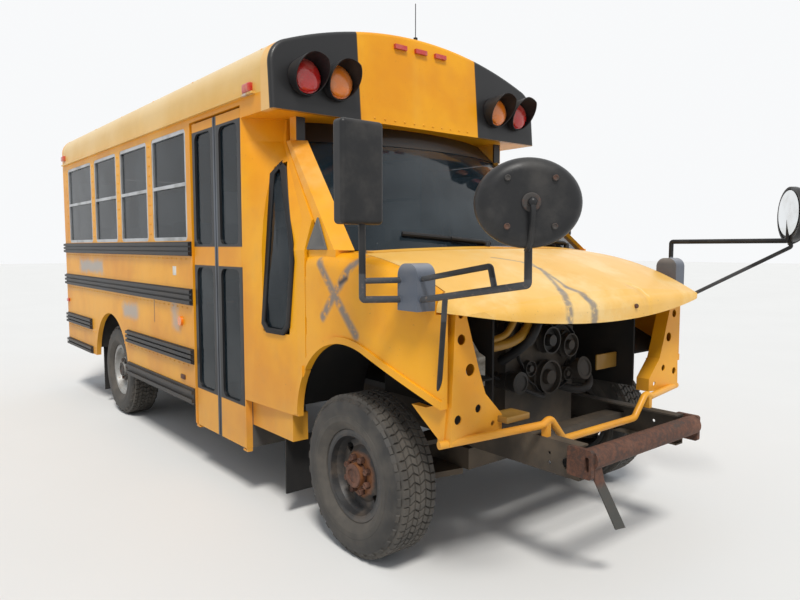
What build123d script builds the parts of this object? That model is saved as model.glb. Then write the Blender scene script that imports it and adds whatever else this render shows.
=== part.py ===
from build123d import *
from math import sin, cos, radians, sqrt
import os

# Short school bus on a van chassis, front end stripped
# Millimetres. While it is drawn y runs rearward from the front axle, x is positive on the
# driver's side and z is the height above the ground. At the end everything moves forward
# by mid_y, so the origin sits under the middle of the whole box.

# Chassis sizes
wheelbase = 3531
front_track = 1742
rear_track = 1732
tyre_radius = 387
tyre_width = 245
rim_radius = 203
rim_lip = 15
rim_width = 178
disc_inset = 40
bolt_circle = 165.1
bolt_count = 8
hand_holes = 4
pin_x = 790
rail_x = 430
rail_flange = 62
rail_height = 150
rail_bottom = 540
horn_drop = 55
horn_front = -885
rail_rear = 4960

# Bus body sizes
half_width = 1037
wall = 40
body_rear = 5016
right_front = 952
left_front = 1425
cap_front = 592
cap_depth = 120
cap_lean = 45
cap_edge = 22
cap_bottom = 2178
wall_top = 2280
corner_radius = 150
crown_radius = 2600
roof_top = 2725
skirt_front = 435
skirt_rear = 462
floor_top = 790
floor_thick = 50
sill_z = 1505
glass_low = 1530
glass_high = 2205
sash_z = 1876
rear_windows = [(560, 900, 1560, 2120)]
window_frame = 25
window_round = 38
window_table = [(1780, 592), (2525, 592), (3270, 592), (4015, 785)]
arch_y = wheelbase + 14
arch_z = 425
arch_radius = 462
door_rear = 1683
door_front = 968
leaf_bottom = 300
leaf_top = 2238
leaf_thick = 35
leaf_r = leaf_thick / 2
leaf_gap = 12
rail_depth = 25
rail_table = [(1405, 94, 0), (1082, 108, 0), (692, 101, 1), (421, 110, 1)]

# Cab sizes
cab_x = 1000
belt_z = 1449
cab_top = 2050
nose_y = -775
sweep_radius = 3067
sweep_y = nose_y + sweep_radius
hood_rear_y = -170
hood_thick = 22
hood_hinge_y = 40
hood_hinge_z = 1394
hood_swing_gap = 18
lip_low = 1122
lip_bow = 5435
seam_x = 890
seam_y = -556
seam = 6
screen_low_y = -90
screen_high_y = 553
screen_low_x = 905
screen_high_x = 765
fender_front = -585
fender_rear = 343
front_arch_y = 10
front_arch_z = 600
front_arch_radius = 417
front_arch_slope = 21.8
cab_floor_top = 735
left_door_rear = 1388
skin = 30
glass = 6

apron_x = 560
apron_skin = 12
housing_in = 37
housing_out = 45

# Gap between pieces that rest on one another, and between moving pieces
seat_gap = 0.3
clearance = 7

# Mirror places
mirror_x = 1206
mirror_y = -397
cross_mirrors = {"right": (1050, -1105, 1605), "left": (1040, -1098, 1632)}
rear_end = body_rear + 75


def block(x0, x1, y0, y1, z0, z1, mode=Mode.ADD):
    with Locations(((x0 + x1) / 2, (y0 + y1) / 2, (z0 + z1) / 2)):
        Box(abs(x1 - x0), abs(y1 - y0), abs(z1 - z0), mode=mode)


# Panel with rounded corners, standing across x
def rounded(x0, x1, y0, y1, z0, z1, r, mode=Mode.ADD):
    with BuildSketch(Plane.YZ.offset(x0), mode=Mode.PRIVATE) as outline:
        with Locations(((y0 + y1) / 2, (z0 + z1) / 2)):
            RectangleRounded(y1 - y0, z1 - z0, r)
    extrude(outline.sketch, amount=x1 - x0, mode=mode)


def across(y):
    return Plane(origin=(0, y, 0), x_dir=(1, 0, 0), z_dir=(0, -1, 0))


# Upright plane through the axis at the given y, for profiles turned about it
def turned(centre_y, angle):
    d = (-sin(radians(angle)), -cos(radians(angle)), 0)
    return Plane(origin=(0, centre_y, 0), x_dir=d, z_dir=(d[1], -d[0], 0))


def sweep_plane(angle):
    return turned(sweep_y, angle)


# Front parts curve in plan about one upright line behind the driver
sweep_axis = Axis((0, sweep_y, 0), (0, 0, 1))


def far(y):
    return sweep_y - y


def corner_height(half, top, crown, corner):
    return top - crown + sqrt((crown - corner) ** 2 - (half - corner) ** 2)


# Upright sides, rounded corners and a crowned top that meet smoothly, drawn inset from full size
def arched(half, top, crown, corner, inset, low):
    x = half - inset
    r = corner - inset
    span = crown - corner
    reach = half - corner
    up = corner_height(half, top, crown, corner)
    rise = up - top + crown
    k = (crown - inset) / span
    mx = reach * k
    mz = top - crown + rise * k
    bisector = sqrt((1 + reach / span) ** 2 + (rise / span) ** 2)
    ax = reach + r * (1 + reach / span) / bisector
    az = up + r * (rise / span) / bisector
    Line((-x, low), (x, low))
    Line((x, low), (x, up))
    ThreePointArc((x, up), (ax, az), (mx, mz))
    ThreePointArc((mx, mz), (0, top - inset), (-mx, mz))
    ThreePointArc((-mx, mz), (-ax, az), (-x, up))
    Line((-x, up), (-x, low))


def body_outline(inset, low):
    arched(half_width, roof_top, crown_radius, corner_radius, inset, low)


# Outer form of the nose, lofted through three crowned sections and bowed in plan
shoulder = 80
crown_bow = 7800
nose_bow = 9434
nose_half = 936
nose_corner = 160
nose_round = 60
nose_round_z = 1180
nose_turn = 9
nose_table = [(360, 1000, 1500), (-300, 982, 1425), (-800, 880, 1221)]


def nose_form(inset):
    with BuildPart() as form:
        for y, half, top in nose_table:
            with BuildSketch(across(y)):
                with BuildLine():
                    arched(half, top, crown_bow, shoulder, inset, 300)
                make_face()
        loft()
        turn = corner_height(nose_half, -nose_y, nose_bow, nose_corner)
        with BuildSketch(Plane(origin=(0, 0, 1700), x_dir=(1, 0, 0), z_dir=(0, 0, -1))):
            with BuildLine():
                arched(nose_half, -nose_y, nose_bow, nose_corner, inset, 0)
            make_face()
            with Locations((0, (turn - 500) / 2)):
                Rectangle(2400, turn + 500)
        extrude(amount=1500, mode=Mode.INTERSECT)
        r = nose_round - inset
        face = nose_bow - inset
        middle = face - r
        with BuildSketch(turned(nose_y + nose_bow, nose_turn)):
            with BuildLine():
                rounding = CenterArc((middle, nose_round_z), r, 0, 60)
                Polyline(rounding @ 1, (middle - 400, 1750), (middle - 1250, 1750), (middle - 1250, 150),
                         (face, 150), rounding @ 0)
            make_face()
        revolve(axis=Axis((0, nose_y + nose_bow, 0), (0, 0, 1)), revolution_arc=2 * nose_turn, mode=Mode.INTERSECT)
    return form.part


# Round bar bent along a line of points
def bar(points, size, bend=12):
    with BuildPart() as rod:
        with BuildLine():
            if len(points) > 2:
                path = FilletPolyline(*points, radius=bend)
            else:
                path = Line(*points)
        with BuildSketch(Plane(origin=path @ 0, z_dir=path % 0)):
            Circle(size)
        sweep(path=path)
    return rod.part


# Front wheel arch in side view: part circle with a straight run down to the nose
def wheel_arch(grow):
    r = front_arch_radius + grow
    a = radians(front_arch_slope)
    half = radians((90 + front_arch_slope) / 2)
    y0 = front_arch_y + r
    y1 = front_arch_y - r * sin(a)
    z1 = front_arch_z + r * cos(a)
    Line((y0, 200), (y0, front_arch_z))
    ThreePointArc((y0, front_arch_z), (front_arch_y + r * cos(half), front_arch_z + r * sin(half)), (y1, z1))
    Line((y1, z1), (-700, z1 - (y1 + 700) * sin(a) / cos(a)))
    Line((-700, z1 - (y1 + 700) * sin(a) / cos(a)), (-700, 200))
    Line((-700, 200), (y0, 200))


# Both sides of the arch cut through anything out to the given distance
def wheel_arch_block(grow, inner):
    with BuildPart() as both:
        for side in (-1, 1):
            with BuildSketch(Plane.YZ.offset(side * inner)):
                with BuildLine():
                    wheel_arch(grow)
                make_face()
            extrude(amount=side * (1100 - inner))
    return both.part


# Frame rails with crossmembers, horns at the front
rail_profile = [
    (horn_front, rail_bottom - horn_drop),
    (-260, rail_bottom - horn_drop),
    (150, rail_bottom),
    (rail_rear, rail_bottom),
    (rail_rear, rail_bottom + rail_height),
    (150, rail_bottom + rail_height),
    (-260, rail_bottom - horn_drop + rail_height),
    (horn_front, rail_bottom - horn_drop + rail_height),
]
web = 8
rail_pocket = [(y, z + web) for y, z in rail_profile[:4]] + [(y, z - web) for y, z in rail_profile[4:]]
horn_holes = [(-820, 545, 24), (-731, 571, 8), (-731, 527, 8)]
cross_table = [(-560, -470), (1190, 1250), (2050, 2110)]
cross_table += [(2900, 2960), (4150, 4210), (4860, 4920)]
with BuildPart() as frame_rails:
    for side in (-1, 1):
        with BuildSketch(Plane.YZ.offset(side * rail_x)):
            Polygon(*rail_profile, align=None)
        extrude(amount=-side * rail_flange)
    for side in (-1, 1):
        with BuildSketch(Plane.YZ.offset(side * (rail_x - web))):
            Polygon(*rail_pocket, align=None)
        extrude(amount=-side * rail_flange, mode=Mode.SUBTRACT)
    for y0, y1 in cross_table:
        low = rail_bottom + rail_height - 60
        if y0 < 0:
            low = rail_bottom - horn_drop + 40
        block(-rail_x + web, rail_x - web, y0, y1, low, low + 60)
    for side in (-1, 1):
        with Locations(Plane.YZ.offset(side * rail_x)):
            for y, z, r in horn_holes:
                with Locations((y, z)):
                    Cylinder(r, 60, mode=Mode.SUBTRACT)

# Rusty round front crossmember between slotted brackets, with a strap left hanging
tube_z = 590
tube_radius = 46
tube_y = horn_front - tube_radius - seat_gap
bracket_front = -960
with BuildPart() as front_crossmember:
    with Locations((0, tube_y, tube_z)):
        Cylinder(tube_radius, 2 * (rail_x + 1), rotation=(0, 90, 0))
        Cylinder(tube_radius - 6, 2 * rail_x, rotation=(0, 90, 0), mode=Mode.SUBTRACT)
    for side in (-1, 1):
        with BuildSketch(Plane.YZ.offset(side * (rail_x + seat_gap))):
            with Locations(((bracket_front - 840) / 2, 574)):
                RectangleRounded(-840 - bracket_front, 124, 12)
            with Locations((-938, 574)):
                SlotOverall(64, 22, rotation=90, mode=Mode.SUBTRACT)
        extrude(amount=side * 23)
    with BuildSketch(across(tube_y - 20)):
        Polygon((-425, 556), (-375, 556), (-352, 490), (-182, 242), (-256, 252), (-420, 503), align=None)
    extrude(amount=6)

# Front suspension crossmember with lower and upper arms
cross_low = tyre_radius - 57
cross_high = tyre_radius + 53
arm_table = [(410, cross_low - 30, cross_low, -130, 130), (520, cross_high + 30, cross_high + 52, -90, 90)]
with BuildPart() as front_suspension:
    block(-rail_x + 70, rail_x - 70, -170, 170, cross_low, cross_high)
    for side in (-1, 1):
        for inner, low, high, y0, y1 in arm_table:
            with BuildSketch(Plane.XY.offset(low)):
                with BuildLine():
                    Polyline(
                        (side * (rail_x - 70), y0),
                        (side * (pin_x + 30), -30),
                        (side * (pin_x + 30), 30),
                        (side * (rail_x - 70), y1),
                        close=True,
                    )
                make_face()
            extrude(amount=high - low)
        block(side * (rail_x - 70), side * (rail_x + 40), -95, 95, cross_high, 484)

# Steering knuckles carry the front hubs
wheel_table = {
    "front_left": (front_track / 2, 0, 1),
    "front_right": (-front_track / 2, 0, -1),
    "rear_left": (rear_track / 2, wheelbase, 1),
    "rear_right": (-rear_track / 2, wheelbase, -1),
}
disc_x = rim_width / 2 - disc_inset
knuckles = {}
for name, side in (("left", 1), ("right", -1)):
    with BuildPart() as knuckle:
        with Locations((side * pin_x, 0, tyre_radius + 13)):
            Cylinder(28, 139.4)
        with Locations((side * (pin_x + 25), 0, tyre_radius)):
            Cylinder(52, 60, rotation=(0, 90, 0))
        with Locations((side * (front_track / 2 - 17), 0, tyre_radius)):
            Cylinder(150, 26, rotation=(0, 90, 0))
        with Locations((side * (front_track / 2 + disc_x - 8 - 45.3), 0, tyre_radius)):
            Cylinder(50, 90, rotation=(0, 90, 0))
        block(side * (pin_x - 90), side * (pin_x + 5), 20, 150, tyre_radius - 42, tyre_radius - 20)
    knuckles[name] = knuckle

# Tyre and steel wheel, drawn about the spin line and placed four times
wheels = {}
tyres = {}
for name, (x, y, side) in wheel_table.items():
    tread = tyre_radius
    half = tyre_width / 2
    bead = rim_radius
    spin = Plane(origin=(x, y, tyre_radius), x_dir=(side, 0, 0), z_dir=(0, -1, 0))
    with BuildPart() as tyre:
        with BuildSketch(spin):
            with BuildLine():
                Polyline(
                    (-rim_width / 2 + 11.3, bead + 0.3),
                    (-rim_width / 2 + 11.3, bead + rim_lip + 0.3),
                    (-rim_width / 2 - 6, bead + rim_lip + 3),
                    (-half + 6, bead + 60),
                    (-half, bead + 95),
                    (-half + 10, tread - 30),
                    (-half + 30, tread - 8),
                    (-half + 60, tread),
                    (half - 60, tread),
                    (half - 30, tread - 8),
                    (half - 10, tread - 30),
                    (half, bead + 95),
                    (half - 6, bead + 60),
                    (rim_width / 2 + 6, bead + rim_lip + 3),
                    (rim_width / 2 - 11.3, bead + rim_lip + 0.3),
                    (rim_width / 2 - 11.3, bead + 0.3),
                    close=True,
                )
            make_face()
        revolve(axis=Axis((x, y, tyre_radius), (1, 0, 0)))
    with BuildPart() as wheel:
        with BuildSketch(spin):
            with BuildLine():
                Polyline(
                    (-rim_width / 2, bead + rim_lip),
                    (-rim_width / 2, bead - 14),
                    (-rim_width / 2 + 40, bead - 22),
                    (0, bead - 40),
                    (disc_x - 34, bead - 44),
                    (disc_x - 34, 130),
                    (disc_x - 8, 96),
                    (disc_x - 8, 0),
                    (disc_x + 4, 0),
                    (disc_x + 4, 100),
                    (disc_x - 22, 136),
                    (disc_x - 22, bead - 36),
                    (rim_width / 2 - 30, bead - 20),
                    (rim_width / 2, bead - 14),
                    (rim_width / 2, bead + rim_lip),
                    (rim_width / 2 - 11, bead + rim_lip),
                    (rim_width / 2 - 11, bead),
                    (-rim_width / 2 + 11, bead),
                    (-rim_width / 2 + 11, bead + rim_lip),
                    close=True,
                )
            make_face()
        revolve(axis=Axis((x, y, tyre_radius), (1, 0, 0)))
        face = Plane(origin=(x + side * (disc_x + 4), y, tyre_radius), z_dir=(side, 0, 0))
        with Locations(face):
            Cylinder(58, 34, align=(Align.CENTER, Align.CENTER, Align.MIN))
            with PolarLocations(bolt_circle / 2, bolt_count, start_angle=22.5):
                Cylinder(12, 22, align=(Align.CENTER, Align.CENTER, Align.MIN))
            with PolarLocations(146, hand_holes, start_angle=45):
                Cylinder(24, 120, mode=Mode.SUBTRACT)
    wheels[name] = wheel
    tyres[name] = tyre

# Rear axle housing, drums and hubs in one turned profile, hung on leaf springs
hub_x = rear_track / 2 + disc_x - 8.3
drum_in = rear_track / 2 - 60
drum_out = rear_track / 2 + 12
spring_x = 520
spring_half = 700
leaf_low = tyre_radius + 65
axle_profile = [(0, 0), (0, 152), (60, 148), (115, 105), (165, 52), (drum_in, 46), (drum_in, 140), (drum_out, 140),
                (drum_out, 58), (hub_x, 58), (hub_x, 0)]
with BuildPart() as rear_axle:
    for side in (-1, 1):
        with BuildSketch(Plane(origin=(0, wheelbase, tyre_radius), x_dir=(side, 0, 0), z_dir=(0, -side, 0))):
            Polygon(*axle_profile, align=None)
        revolve(axis=Axis((0, wheelbase, tyre_radius), (1, 0, 0)))
    for side in (-1, 1):
        block(side * (spring_x - 38), side * (spring_x + 38), wheelbase - 60, wheelbase + 60, leaf_low - 27, leaf_low + 1)
        with BuildSketch(Plane.YZ.offset(side * spring_x - 32)):
            with BuildLine():
                ThreePointArc((wheelbase - spring_half, 560), (wheelbase, leaf_low), (wheelbase + spring_half, 560))
                Line((wheelbase + spring_half, 560), (wheelbase + spring_half, 592))
                ThreePointArc((wheelbase + spring_half, 592), (wheelbase, leaf_low + 48), (wheelbase - spring_half, 592))
                Line((wheelbase - spring_half, 592), (wheelbase - spring_half, 560))
            make_face()
        extrude(amount=64)
        for y in (wheelbase - spring_half + 20, wheelbase + spring_half - 20):
            block(side * (rail_x + 0.3), side * (spring_x + 32), y - 20, y + 20, 565, 640)

# Propeller shaft from gearbox to axle
shaft_front = 1156
shaft_run = wheelbase - 160 - shaft_front
shaft_long = sqrt(shaft_run**2 + (tyre_radius - 560) ** 2)
with BuildPart() as drive_shaft:
    with BuildSketch(Plane(origin=(0, shaft_front, 560), z_dir=(0, shaft_run, tyre_radius - 560))):
        Circle(38)
    extrude(amount=shaft_long)

# Engine and gearbox as one plain block
gearbox_rear = shaft_front - 38 * (560 - tyre_radius) / shaft_long - 0.341065
with BuildPart() as engine_block:
    block(-270, 270, -330, 420, cross_high + 0.3, 1040)
    block(-170, 170, 420, gearbox_rear, 470, 690)

# Fuel tank outside the right rail, exhaust on the left
with BuildPart() as fuel_tank:
    block(-860, -rail_x - 0.3, 1960, 2760, 330, 640)
    fillet(fuel_tank.edges().filter_by(Axis.Y), 40)
with BuildPart() as exhaust:
    block(150, 345, 1500, 2150, 380, 520)
    fillet(exhaust.edges().filter_by(Axis.Y), 50)
    with BuildLine():
        pipe = FilletPolyline((245, 2149, 450), (245, 2800, 450), (330, 2950, 560), (330, 4450, 560),
                              (330, 4640, 465), (700, 4850, 440), (960, 4960, 400), radius=50)
    with BuildSketch(Plane(origin=pipe @ 0, z_dir=pipe % 0)):
        Circle(30)
    sweep(path=pipe)
    block(230, 262, 2060, 2100, 519, 629.7)
    block(320, 340, 4165, 4195, 570, 629.7)

# Floor of the bus, cut for the rear wheel boxes and the step well
tub_x = 690
tub_front = arch_y - 480
tub_rear = arch_y + 480
well_x = -640
floor_x = half_width - wall
floor_rear = body_rear - wall - 4
sill_table = (1600, 2075, 2550, 3000, 4120, 4500, 4890)
with BuildPart() as bus_floor:
    block(-floor_x, floor_x, left_front + 5, floor_rear, floor_top - floor_thick, floor_top)
    for y in sill_table:
        block(-floor_x, floor_x, y, y + 45, rail_bottom + rail_height, floor_top - floor_thick)
    for side in (-1, 1):
        block(side * tub_x, side * floor_x, tub_front, tub_rear, 600, floor_top, Mode.SUBTRACT)
    block(-floor_x, well_x, 0, door_rear + 8, 600, floor_top, Mode.SUBTRACT)

# Wheel boxes over the rear wheels
tub_top = 960
tub_skin = 6
with BuildPart() as wheel_boxes:
    for side in (-1, 1):
        x0 = side * (tub_x + seat_gap)
        x1 = side * (floor_x - seat_gap)
        y0 = tub_front + seat_gap
        y1 = tub_rear - seat_gap
        block(x0, x1, y0, y1, floor_top - 260, tub_top)
        fillet(wheel_boxes.edges().filter_by(Axis.X).group_by(Axis.Z)[-1], 60)
        block(x0 + side * tub_skin, x1 + side, y0 + tub_skin, y1 - tub_skin, 400, tub_top - 66, Mode.SUBTRACT)
        block(x0 + side * tub_skin, x1 + side, y0 + 66, y1 - 66, 400, tub_top - tub_skin, Mode.SUBTRACT)

# Steps inside the entrance door
well_out = -half_width + leaf_thick + 13
well_front = right_front + 0.3
well_rear = door_rear + 7
with BuildPart() as step_well:
    block(well_out, well_x, well_front, well_rear, 304, 324)
    block(-840, well_x, well_front, well_rear, 324, 540)
    block(well_x - 20, well_x, well_front, well_rear, 540, 740)
    for y in (well_front, well_rear - 7):
        block(-half_width + wall, well_x, y, y + 7, 304, 740)

# Side walls of the bus
glass_in = 22
sides = {}
for name, side, front in (("left", 1, left_front), ("right", -1, right_front)):
    outer = side * half_width
    with BuildPart() as wall_part:
        body_start = left_front if side > 0 else door_rear
        block(outer, outer - side * wall, body_start, body_rear - wall, skirt_front, wall_top)
        block(outer, outer - side * wall, cap_front + cap_depth, body_start, cap_bottom, wall_top)
        if side < 0:
            block(outer, outer - side * wall, right_front, door_front - 7, skirt_front - 131, cap_bottom)
            block(outer, outer - side * wall, door_front - 7, door_rear, leaf_top + 12, wall_top)
            block(outer, outer - side * wall, door_rear - 1, door_rear + 6, skirt_front - 131, skirt_front)
            block(outer, outer - side * wall, door_front - 7, door_rear, cap_bottom - 1, leaf_top + 12, Mode.SUBTRACT)
            block(outer + 7, outer + 7 + leaf_thick, door_front - 9, door_front + 40, 282, 292)
            block(outer + 7, outer + 7 + leaf_thick, door_rear - 47, door_rear + 2, 282, 292)
            block(outer + 7, outer + wall - 1, door_front - 15, door_front - 7, 282, 320)
            block(outer + 7, outer + wall - 1, door_rear, door_rear + 6, 282, 320)
            for y in (door_front + 1 + leaf_r, door_rear - 8 - leaf_r):
                with Locations((outer + 7 + leaf_r, y, 1300)):
                    Cylinder(8.4, 2060, mode=Mode.SUBTRACT)
        for start, wide in window_table:
            f = window_frame
            rounded(outer + side, outer - side * (wall + 1), start - f, start + wide + f, sill_z, glass_high + f,
                    window_round, Mode.SUBTRACT)
        with Locations((outer, arch_y, arch_z)):
            Cylinder(arch_radius, 200, rotation=(0, 90, 0), mode=Mode.SUBTRACT)
        block(outer + side, outer - side * (wall + 1), arch_y, body_rear, skirt_front - 1, skirt_rear, Mode.SUBTRACT)
        if side > 0:
            block(outer, outer + 9, 1640, 1740, 1200, 1380)
            for z in (1200, 1360):
                block(outer, outer + 36, 1644, 1664, z, z + 20)
                with Locations((outer + 25, 1654, z + 10)):
                    Cylinder(6.3, 30, mode=Mode.SUBTRACT)
    sides[name] = wall_part

# Aluminium sash frames and the fixed panes
with BuildPart() as window_frames:
    for side in (-1, 1):
        outer = side * (half_width - 2)
        inner = side * (half_width - wall + 4)
        for start, wide in window_table:
            f = window_frame
            rounded(outer, inner, start - f, start + wide + f, sill_z, glass_high + f, window_round)
            block(outer + side, inner - side, start, start + wide, glass_low, sash_z - 12, Mode.SUBTRACT)
            block(outer + side, inner - side, start, start + wide, sash_z + 12, glass_high, Mode.SUBTRACT)
with BuildPart() as side_glass:
    for side in (-1, 1):
        x0 = side * (half_width - glass_in)
        x1 = side * (half_width - glass_in + glass)
        for start, wide in window_table:
            block(x0, x1, start, start + wide, glass_low, sash_z - 12)
            block(x0, x1, start, start + wide, sash_z + 12, glass_high)
        for x0, x1, z0, z1 in rear_windows:
            block(side * x0, side * x1, body_rear - 26, body_rear - 20, z0, z1)

# Black rub rails along both sides
with BuildPart() as rub_rails:
    for side in (-1, 1):
        start = door_rear + 8 if side < 0 else left_front + 10
        for low, high, broken in rail_table:
            spans = [(start, body_rear - 16)]
            if broken:
                spans = [(start, 3059), (4110, body_rear - 16)]
            for y0, y1 in spans:
                bottom = low
                if y0 > arch_y and low < skirt_rear:
                    bottom = skirt_rear
                x0 = side * half_width
                block(x0, x0 + side * 10, y0, y1, bottom, low + high)
                count = 3 if low > 500 else 2
                for i in range(count):
                    z = bottom + (low + high - bottom) * (i + 0.5) / count
                    block(x0, x0 + side * rail_depth, y0, y1, z - 11, z + 11)

# Roof skin with its drip rails
with BuildPart() as body_roof:
    with BuildSketch(across(cap_front + cap_depth)):
        with BuildLine():
            body_outline(0, wall_top)
        make_face()
        with BuildLine():
            body_outline(wall, wall_top - 50)
        make_face(mode=Mode.SUBTRACT)
    extrude(amount=-(body_rear - wall - cap_front - cap_depth))
    for side in (-1, 1):
        x0 = side * half_width
        block(x0 - side * 2, x0 + side * 22, cap_front + cap_depth + 60, body_rear - wall, wall_top, wall_top + 12)

# Rear wall with the doorway and two windows
rear_door_x = 430
rear_door_low = 700
rear_door_high = 2190
rear_hinges = (800, 1400, 2020)
rear_hinge_x = -426
with BuildPart() as rear_wall:
    with BuildSketch(across(body_rear - wall)):
        with BuildLine():
            body_outline(0, skirt_rear)
        make_face()
    extrude(amount=-wall)
    block(-rear_door_x, rear_door_x, body_rear - 60, body_rear + 10, rear_door_low, rear_door_high, Mode.SUBTRACT)
    block(-880, 880, body_rear - 60, body_rear + 10, 400, 655, Mode.SUBTRACT)
    for z in rear_hinges:
        block(-480, -428, body_rear, body_rear + 4, z, z + 90)
        with Locations((rear_hinge_x, body_rear + 7, z + 45)):
            Cylinder(7, 90)
        block(-440, -410, body_rear - 1, body_rear + 20, z + 29, z + 61, Mode.SUBTRACT)
    for side in (-1, 1):
        for x0, x1, z0, z1 in rear_windows:
            block(side * x0, side * x1, body_rear - 60, body_rear + 10, z0, z1, Mode.SUBTRACT)
with BuildPart() as rear_door:
    g = 8
    block(-rear_door_x + g, rear_door_x - g, body_rear - wall + 2, body_rear - 2, rear_door_low + g, rear_door_high - g)
    for z0, z1 in ((920, 1330), (1560, 2120)):
        block(-300, 300, body_rear - 60, body_rear + 10, z0, z1, Mode.SUBTRACT)
    block(250, 330, body_rear - 2, body_rear + 20, 1440, 1480)
    for z in rear_hinges:
        block(-424, -372, body_rear - 3, body_rear + 4, z + 30, z + 60)
        with Locations((rear_hinge_x, body_rear + 7, z + 45)):
            Cylinder(7, 31.4)
with BuildPart() as rear_door_glass:
    for z0, z1 in ((920, 1330), (1560, 2120)):
        block(-300, 300, body_rear - 26, body_rear - 20, z0, z1)

# Rear bumper
with BuildPart() as rear_bumper:
    block(-half_width + 20, half_width - 20, body_rear + 0.3, rear_end, 440, 660)
    block(-half_width + 30, half_width - 30, body_rear - 1, rear_end - 10, 450, 650, Mode.SUBTRACT)
    for side in (-1, 1):
        block(side * (rail_x - 62), side * rail_x, rail_rear + 0.3, rear_end - 9, 550, 600)

# Entrance door leaves with upper and lower glass
leaf_x0 = -half_width + 7
leaf_x1 = leaf_x0 + leaf_thick
pivot_x = leaf_x0 + leaf_r
pivot_r = 8
mid_door = (door_rear + door_front - 7) / 2
leaf_spans = {
    "front": (door_front + 1, mid_door - leaf_gap / 2),
    "rear": (mid_door + leaf_gap / 2, door_rear - 8),
}
leaves = {}
leaf_glass = {}
stile = 52
pane_table = [(560, 1335), (1480, 2170)]
pane_round = 45
for name, (y0, y1) in leaf_spans.items():
    with BuildPart() as leaf:
        hinge_y = y0 + leaf_r if name == "front" else y1 - leaf_r
        far_y = y1 if name == "front" else y0
        block(leaf_x0, leaf_x1, hinge_y, far_y, leaf_bottom, leaf_top)
        with Locations((pivot_x, hinge_y, (leaf_bottom + leaf_top) / 2)):
            Cylinder(leaf_r, leaf_top - leaf_bottom)
            Cylinder(pivot_r, leaf_top - leaf_bottom + 36)
        for z0, z1 in pane_table:
            rounded(leaf_x0 - 1, leaf_x1 + 1, y0 + stile, y1 - stile, z0, z1, pane_round, Mode.SUBTRACT)
    with BuildPart() as pane:
        for z0, z1 in pane_table:
            rounded(leaf_x0 + 14, leaf_x0 + 20, y0 + stile, y1 - stile, z0, z1, pane_round)
    leaves[name] = leaf
    leaf_glass[name] = pane

# Hood over the nose, its lip arched across the front, on gooseneck arms at the rear corners
outer_nose = nose_form(0)
inner_nose = nose_form(skin)
hood_under = nose_form(hood_thick)
with BuildPart() as hood:
    add(outer_nose)
    add(hood_under, mode=Mode.SUBTRACT)
    with BuildSketch(Plane.XY.offset(1000)):
        Rectangle(2 * seam_x, 2400)
        with Locations((0, seam_y - 300)):
            Rectangle(2400, 600)
    extrude(amount=700, mode=Mode.INTERSECT)
    with BuildSketch(across(-1000)):
        with BuildLine():
            lip_end = lip_low + lip_bow - sqrt(lip_bow ** 2 - 1000 ** 2)
            ThreePointArc((-1000, lip_end), (0, lip_low), (1000, lip_end))
            Polyline((1000, lip_end), (1000, 200), (-1000, 200), (-1000, lip_end))
        make_face()
    extrude(amount=-1600, mode=Mode.SUBTRACT)
    with Locations((0, sweep_y, 1400)):
        Cylinder(far(hood_rear_y), 800, mode=Mode.SUBTRACT)
    for side in (-1, 1):
        block(side * 845, side * 857, -160, hood_hinge_y + 12, hood_hinge_z - 12, hood_hinge_z + 12)
        with Locations((side * 842, hood_hinge_y, hood_hinge_z)):
            Cylinder(7, 30, rotation=(0, 90, 0))

# Cowl panel between hood and windscreen, stepped up under the glass
cowl_x = 836
with BuildPart() as cowl:
    add(outer_nose)
    add(hood_under, mode=Mode.SUBTRACT)
    with BuildSketch(Plane.XY.offset(1300)):
        with Locations((0, sweep_y)):
            Circle(far(hood_rear_y) - hood_swing_gap)
            Circle(far(screen_low_y) + 9, mode=Mode.SUBTRACT)
        Rectangle(2 * cowl_x, 1000, mode=Mode.INTERSECT)
    extrude(amount=300, mode=Mode.INTERSECT)
    with BuildSketch(Plane.XY.offset(1385)):
        with Locations((0, sweep_y)):
            Circle(far(screen_low_y) + 10)
            Circle(far(screen_low_y) - 60, mode=Mode.SUBTRACT)
        Rectangle(2 * cowl_x, 1000, mode=Mode.INTERSECT)
    extrude(amount=belt_z - 1385 - seat_gap)
    for side in (-1, 1):
        block(side * (cowl_x - 10), side * cowl_x, hood_hinge_y - 15, hood_hinge_y + 30, 1372, 1410)
        with Locations((side * (cowl_x - 5), hood_hinge_y, hood_hinge_z)):
            Cylinder(7.3, 60, rotation=(0, 90, 0), mode=Mode.SUBTRACT)

# Windscreen and the black band above it
screen_run = (screen_high_y - screen_low_y) / (cab_top - belt_z)
band_top_y = screen_high_y + screen_run * (cap_bottom - cab_top)
with BuildPart() as between_pillars:
    for z, x in ((belt_z, screen_low_x), (cab_top, screen_high_x)):
        with BuildSketch(Plane.XY.offset(z)):
            Rectangle(2 * x, 4000)
    loft()
with BuildPart() as windscreen:
    with BuildSketch(sweep_plane(30)):
        Polygon((far(screen_low_y), belt_z), (far(screen_low_y) - glass - 2, belt_z),
                (far(screen_high_y) - glass - 2, cab_top), (far(screen_high_y), cab_top), align=None)
    revolve(axis=sweep_axis, revolution_arc=60)
    add(between_pillars.part, mode=Mode.INTERSECT)
with BuildPart() as screen_band:
    with BuildSketch(sweep_plane(32)):
        Polygon((far(screen_high_y) + 4, cab_top), (far(screen_high_y) - 50, cab_top),
                (far(band_top_y) - 50, cap_bottom), (far(band_top_y) + 4, cap_bottom), align=None)
    revolve(axis=sweep_axis, revolution_arc=64)
    block(-screen_high_x, screen_high_x, 300, 1300, 1900, 2300, Mode.INTERSECT)

# Front cap with the sign board, leaning back, and the underside over the windscreen
cap_back = cap_front + cap_depth
cap_lean_run = cap_lean / (roof_top - cap_bottom)
soffit = 20


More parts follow.
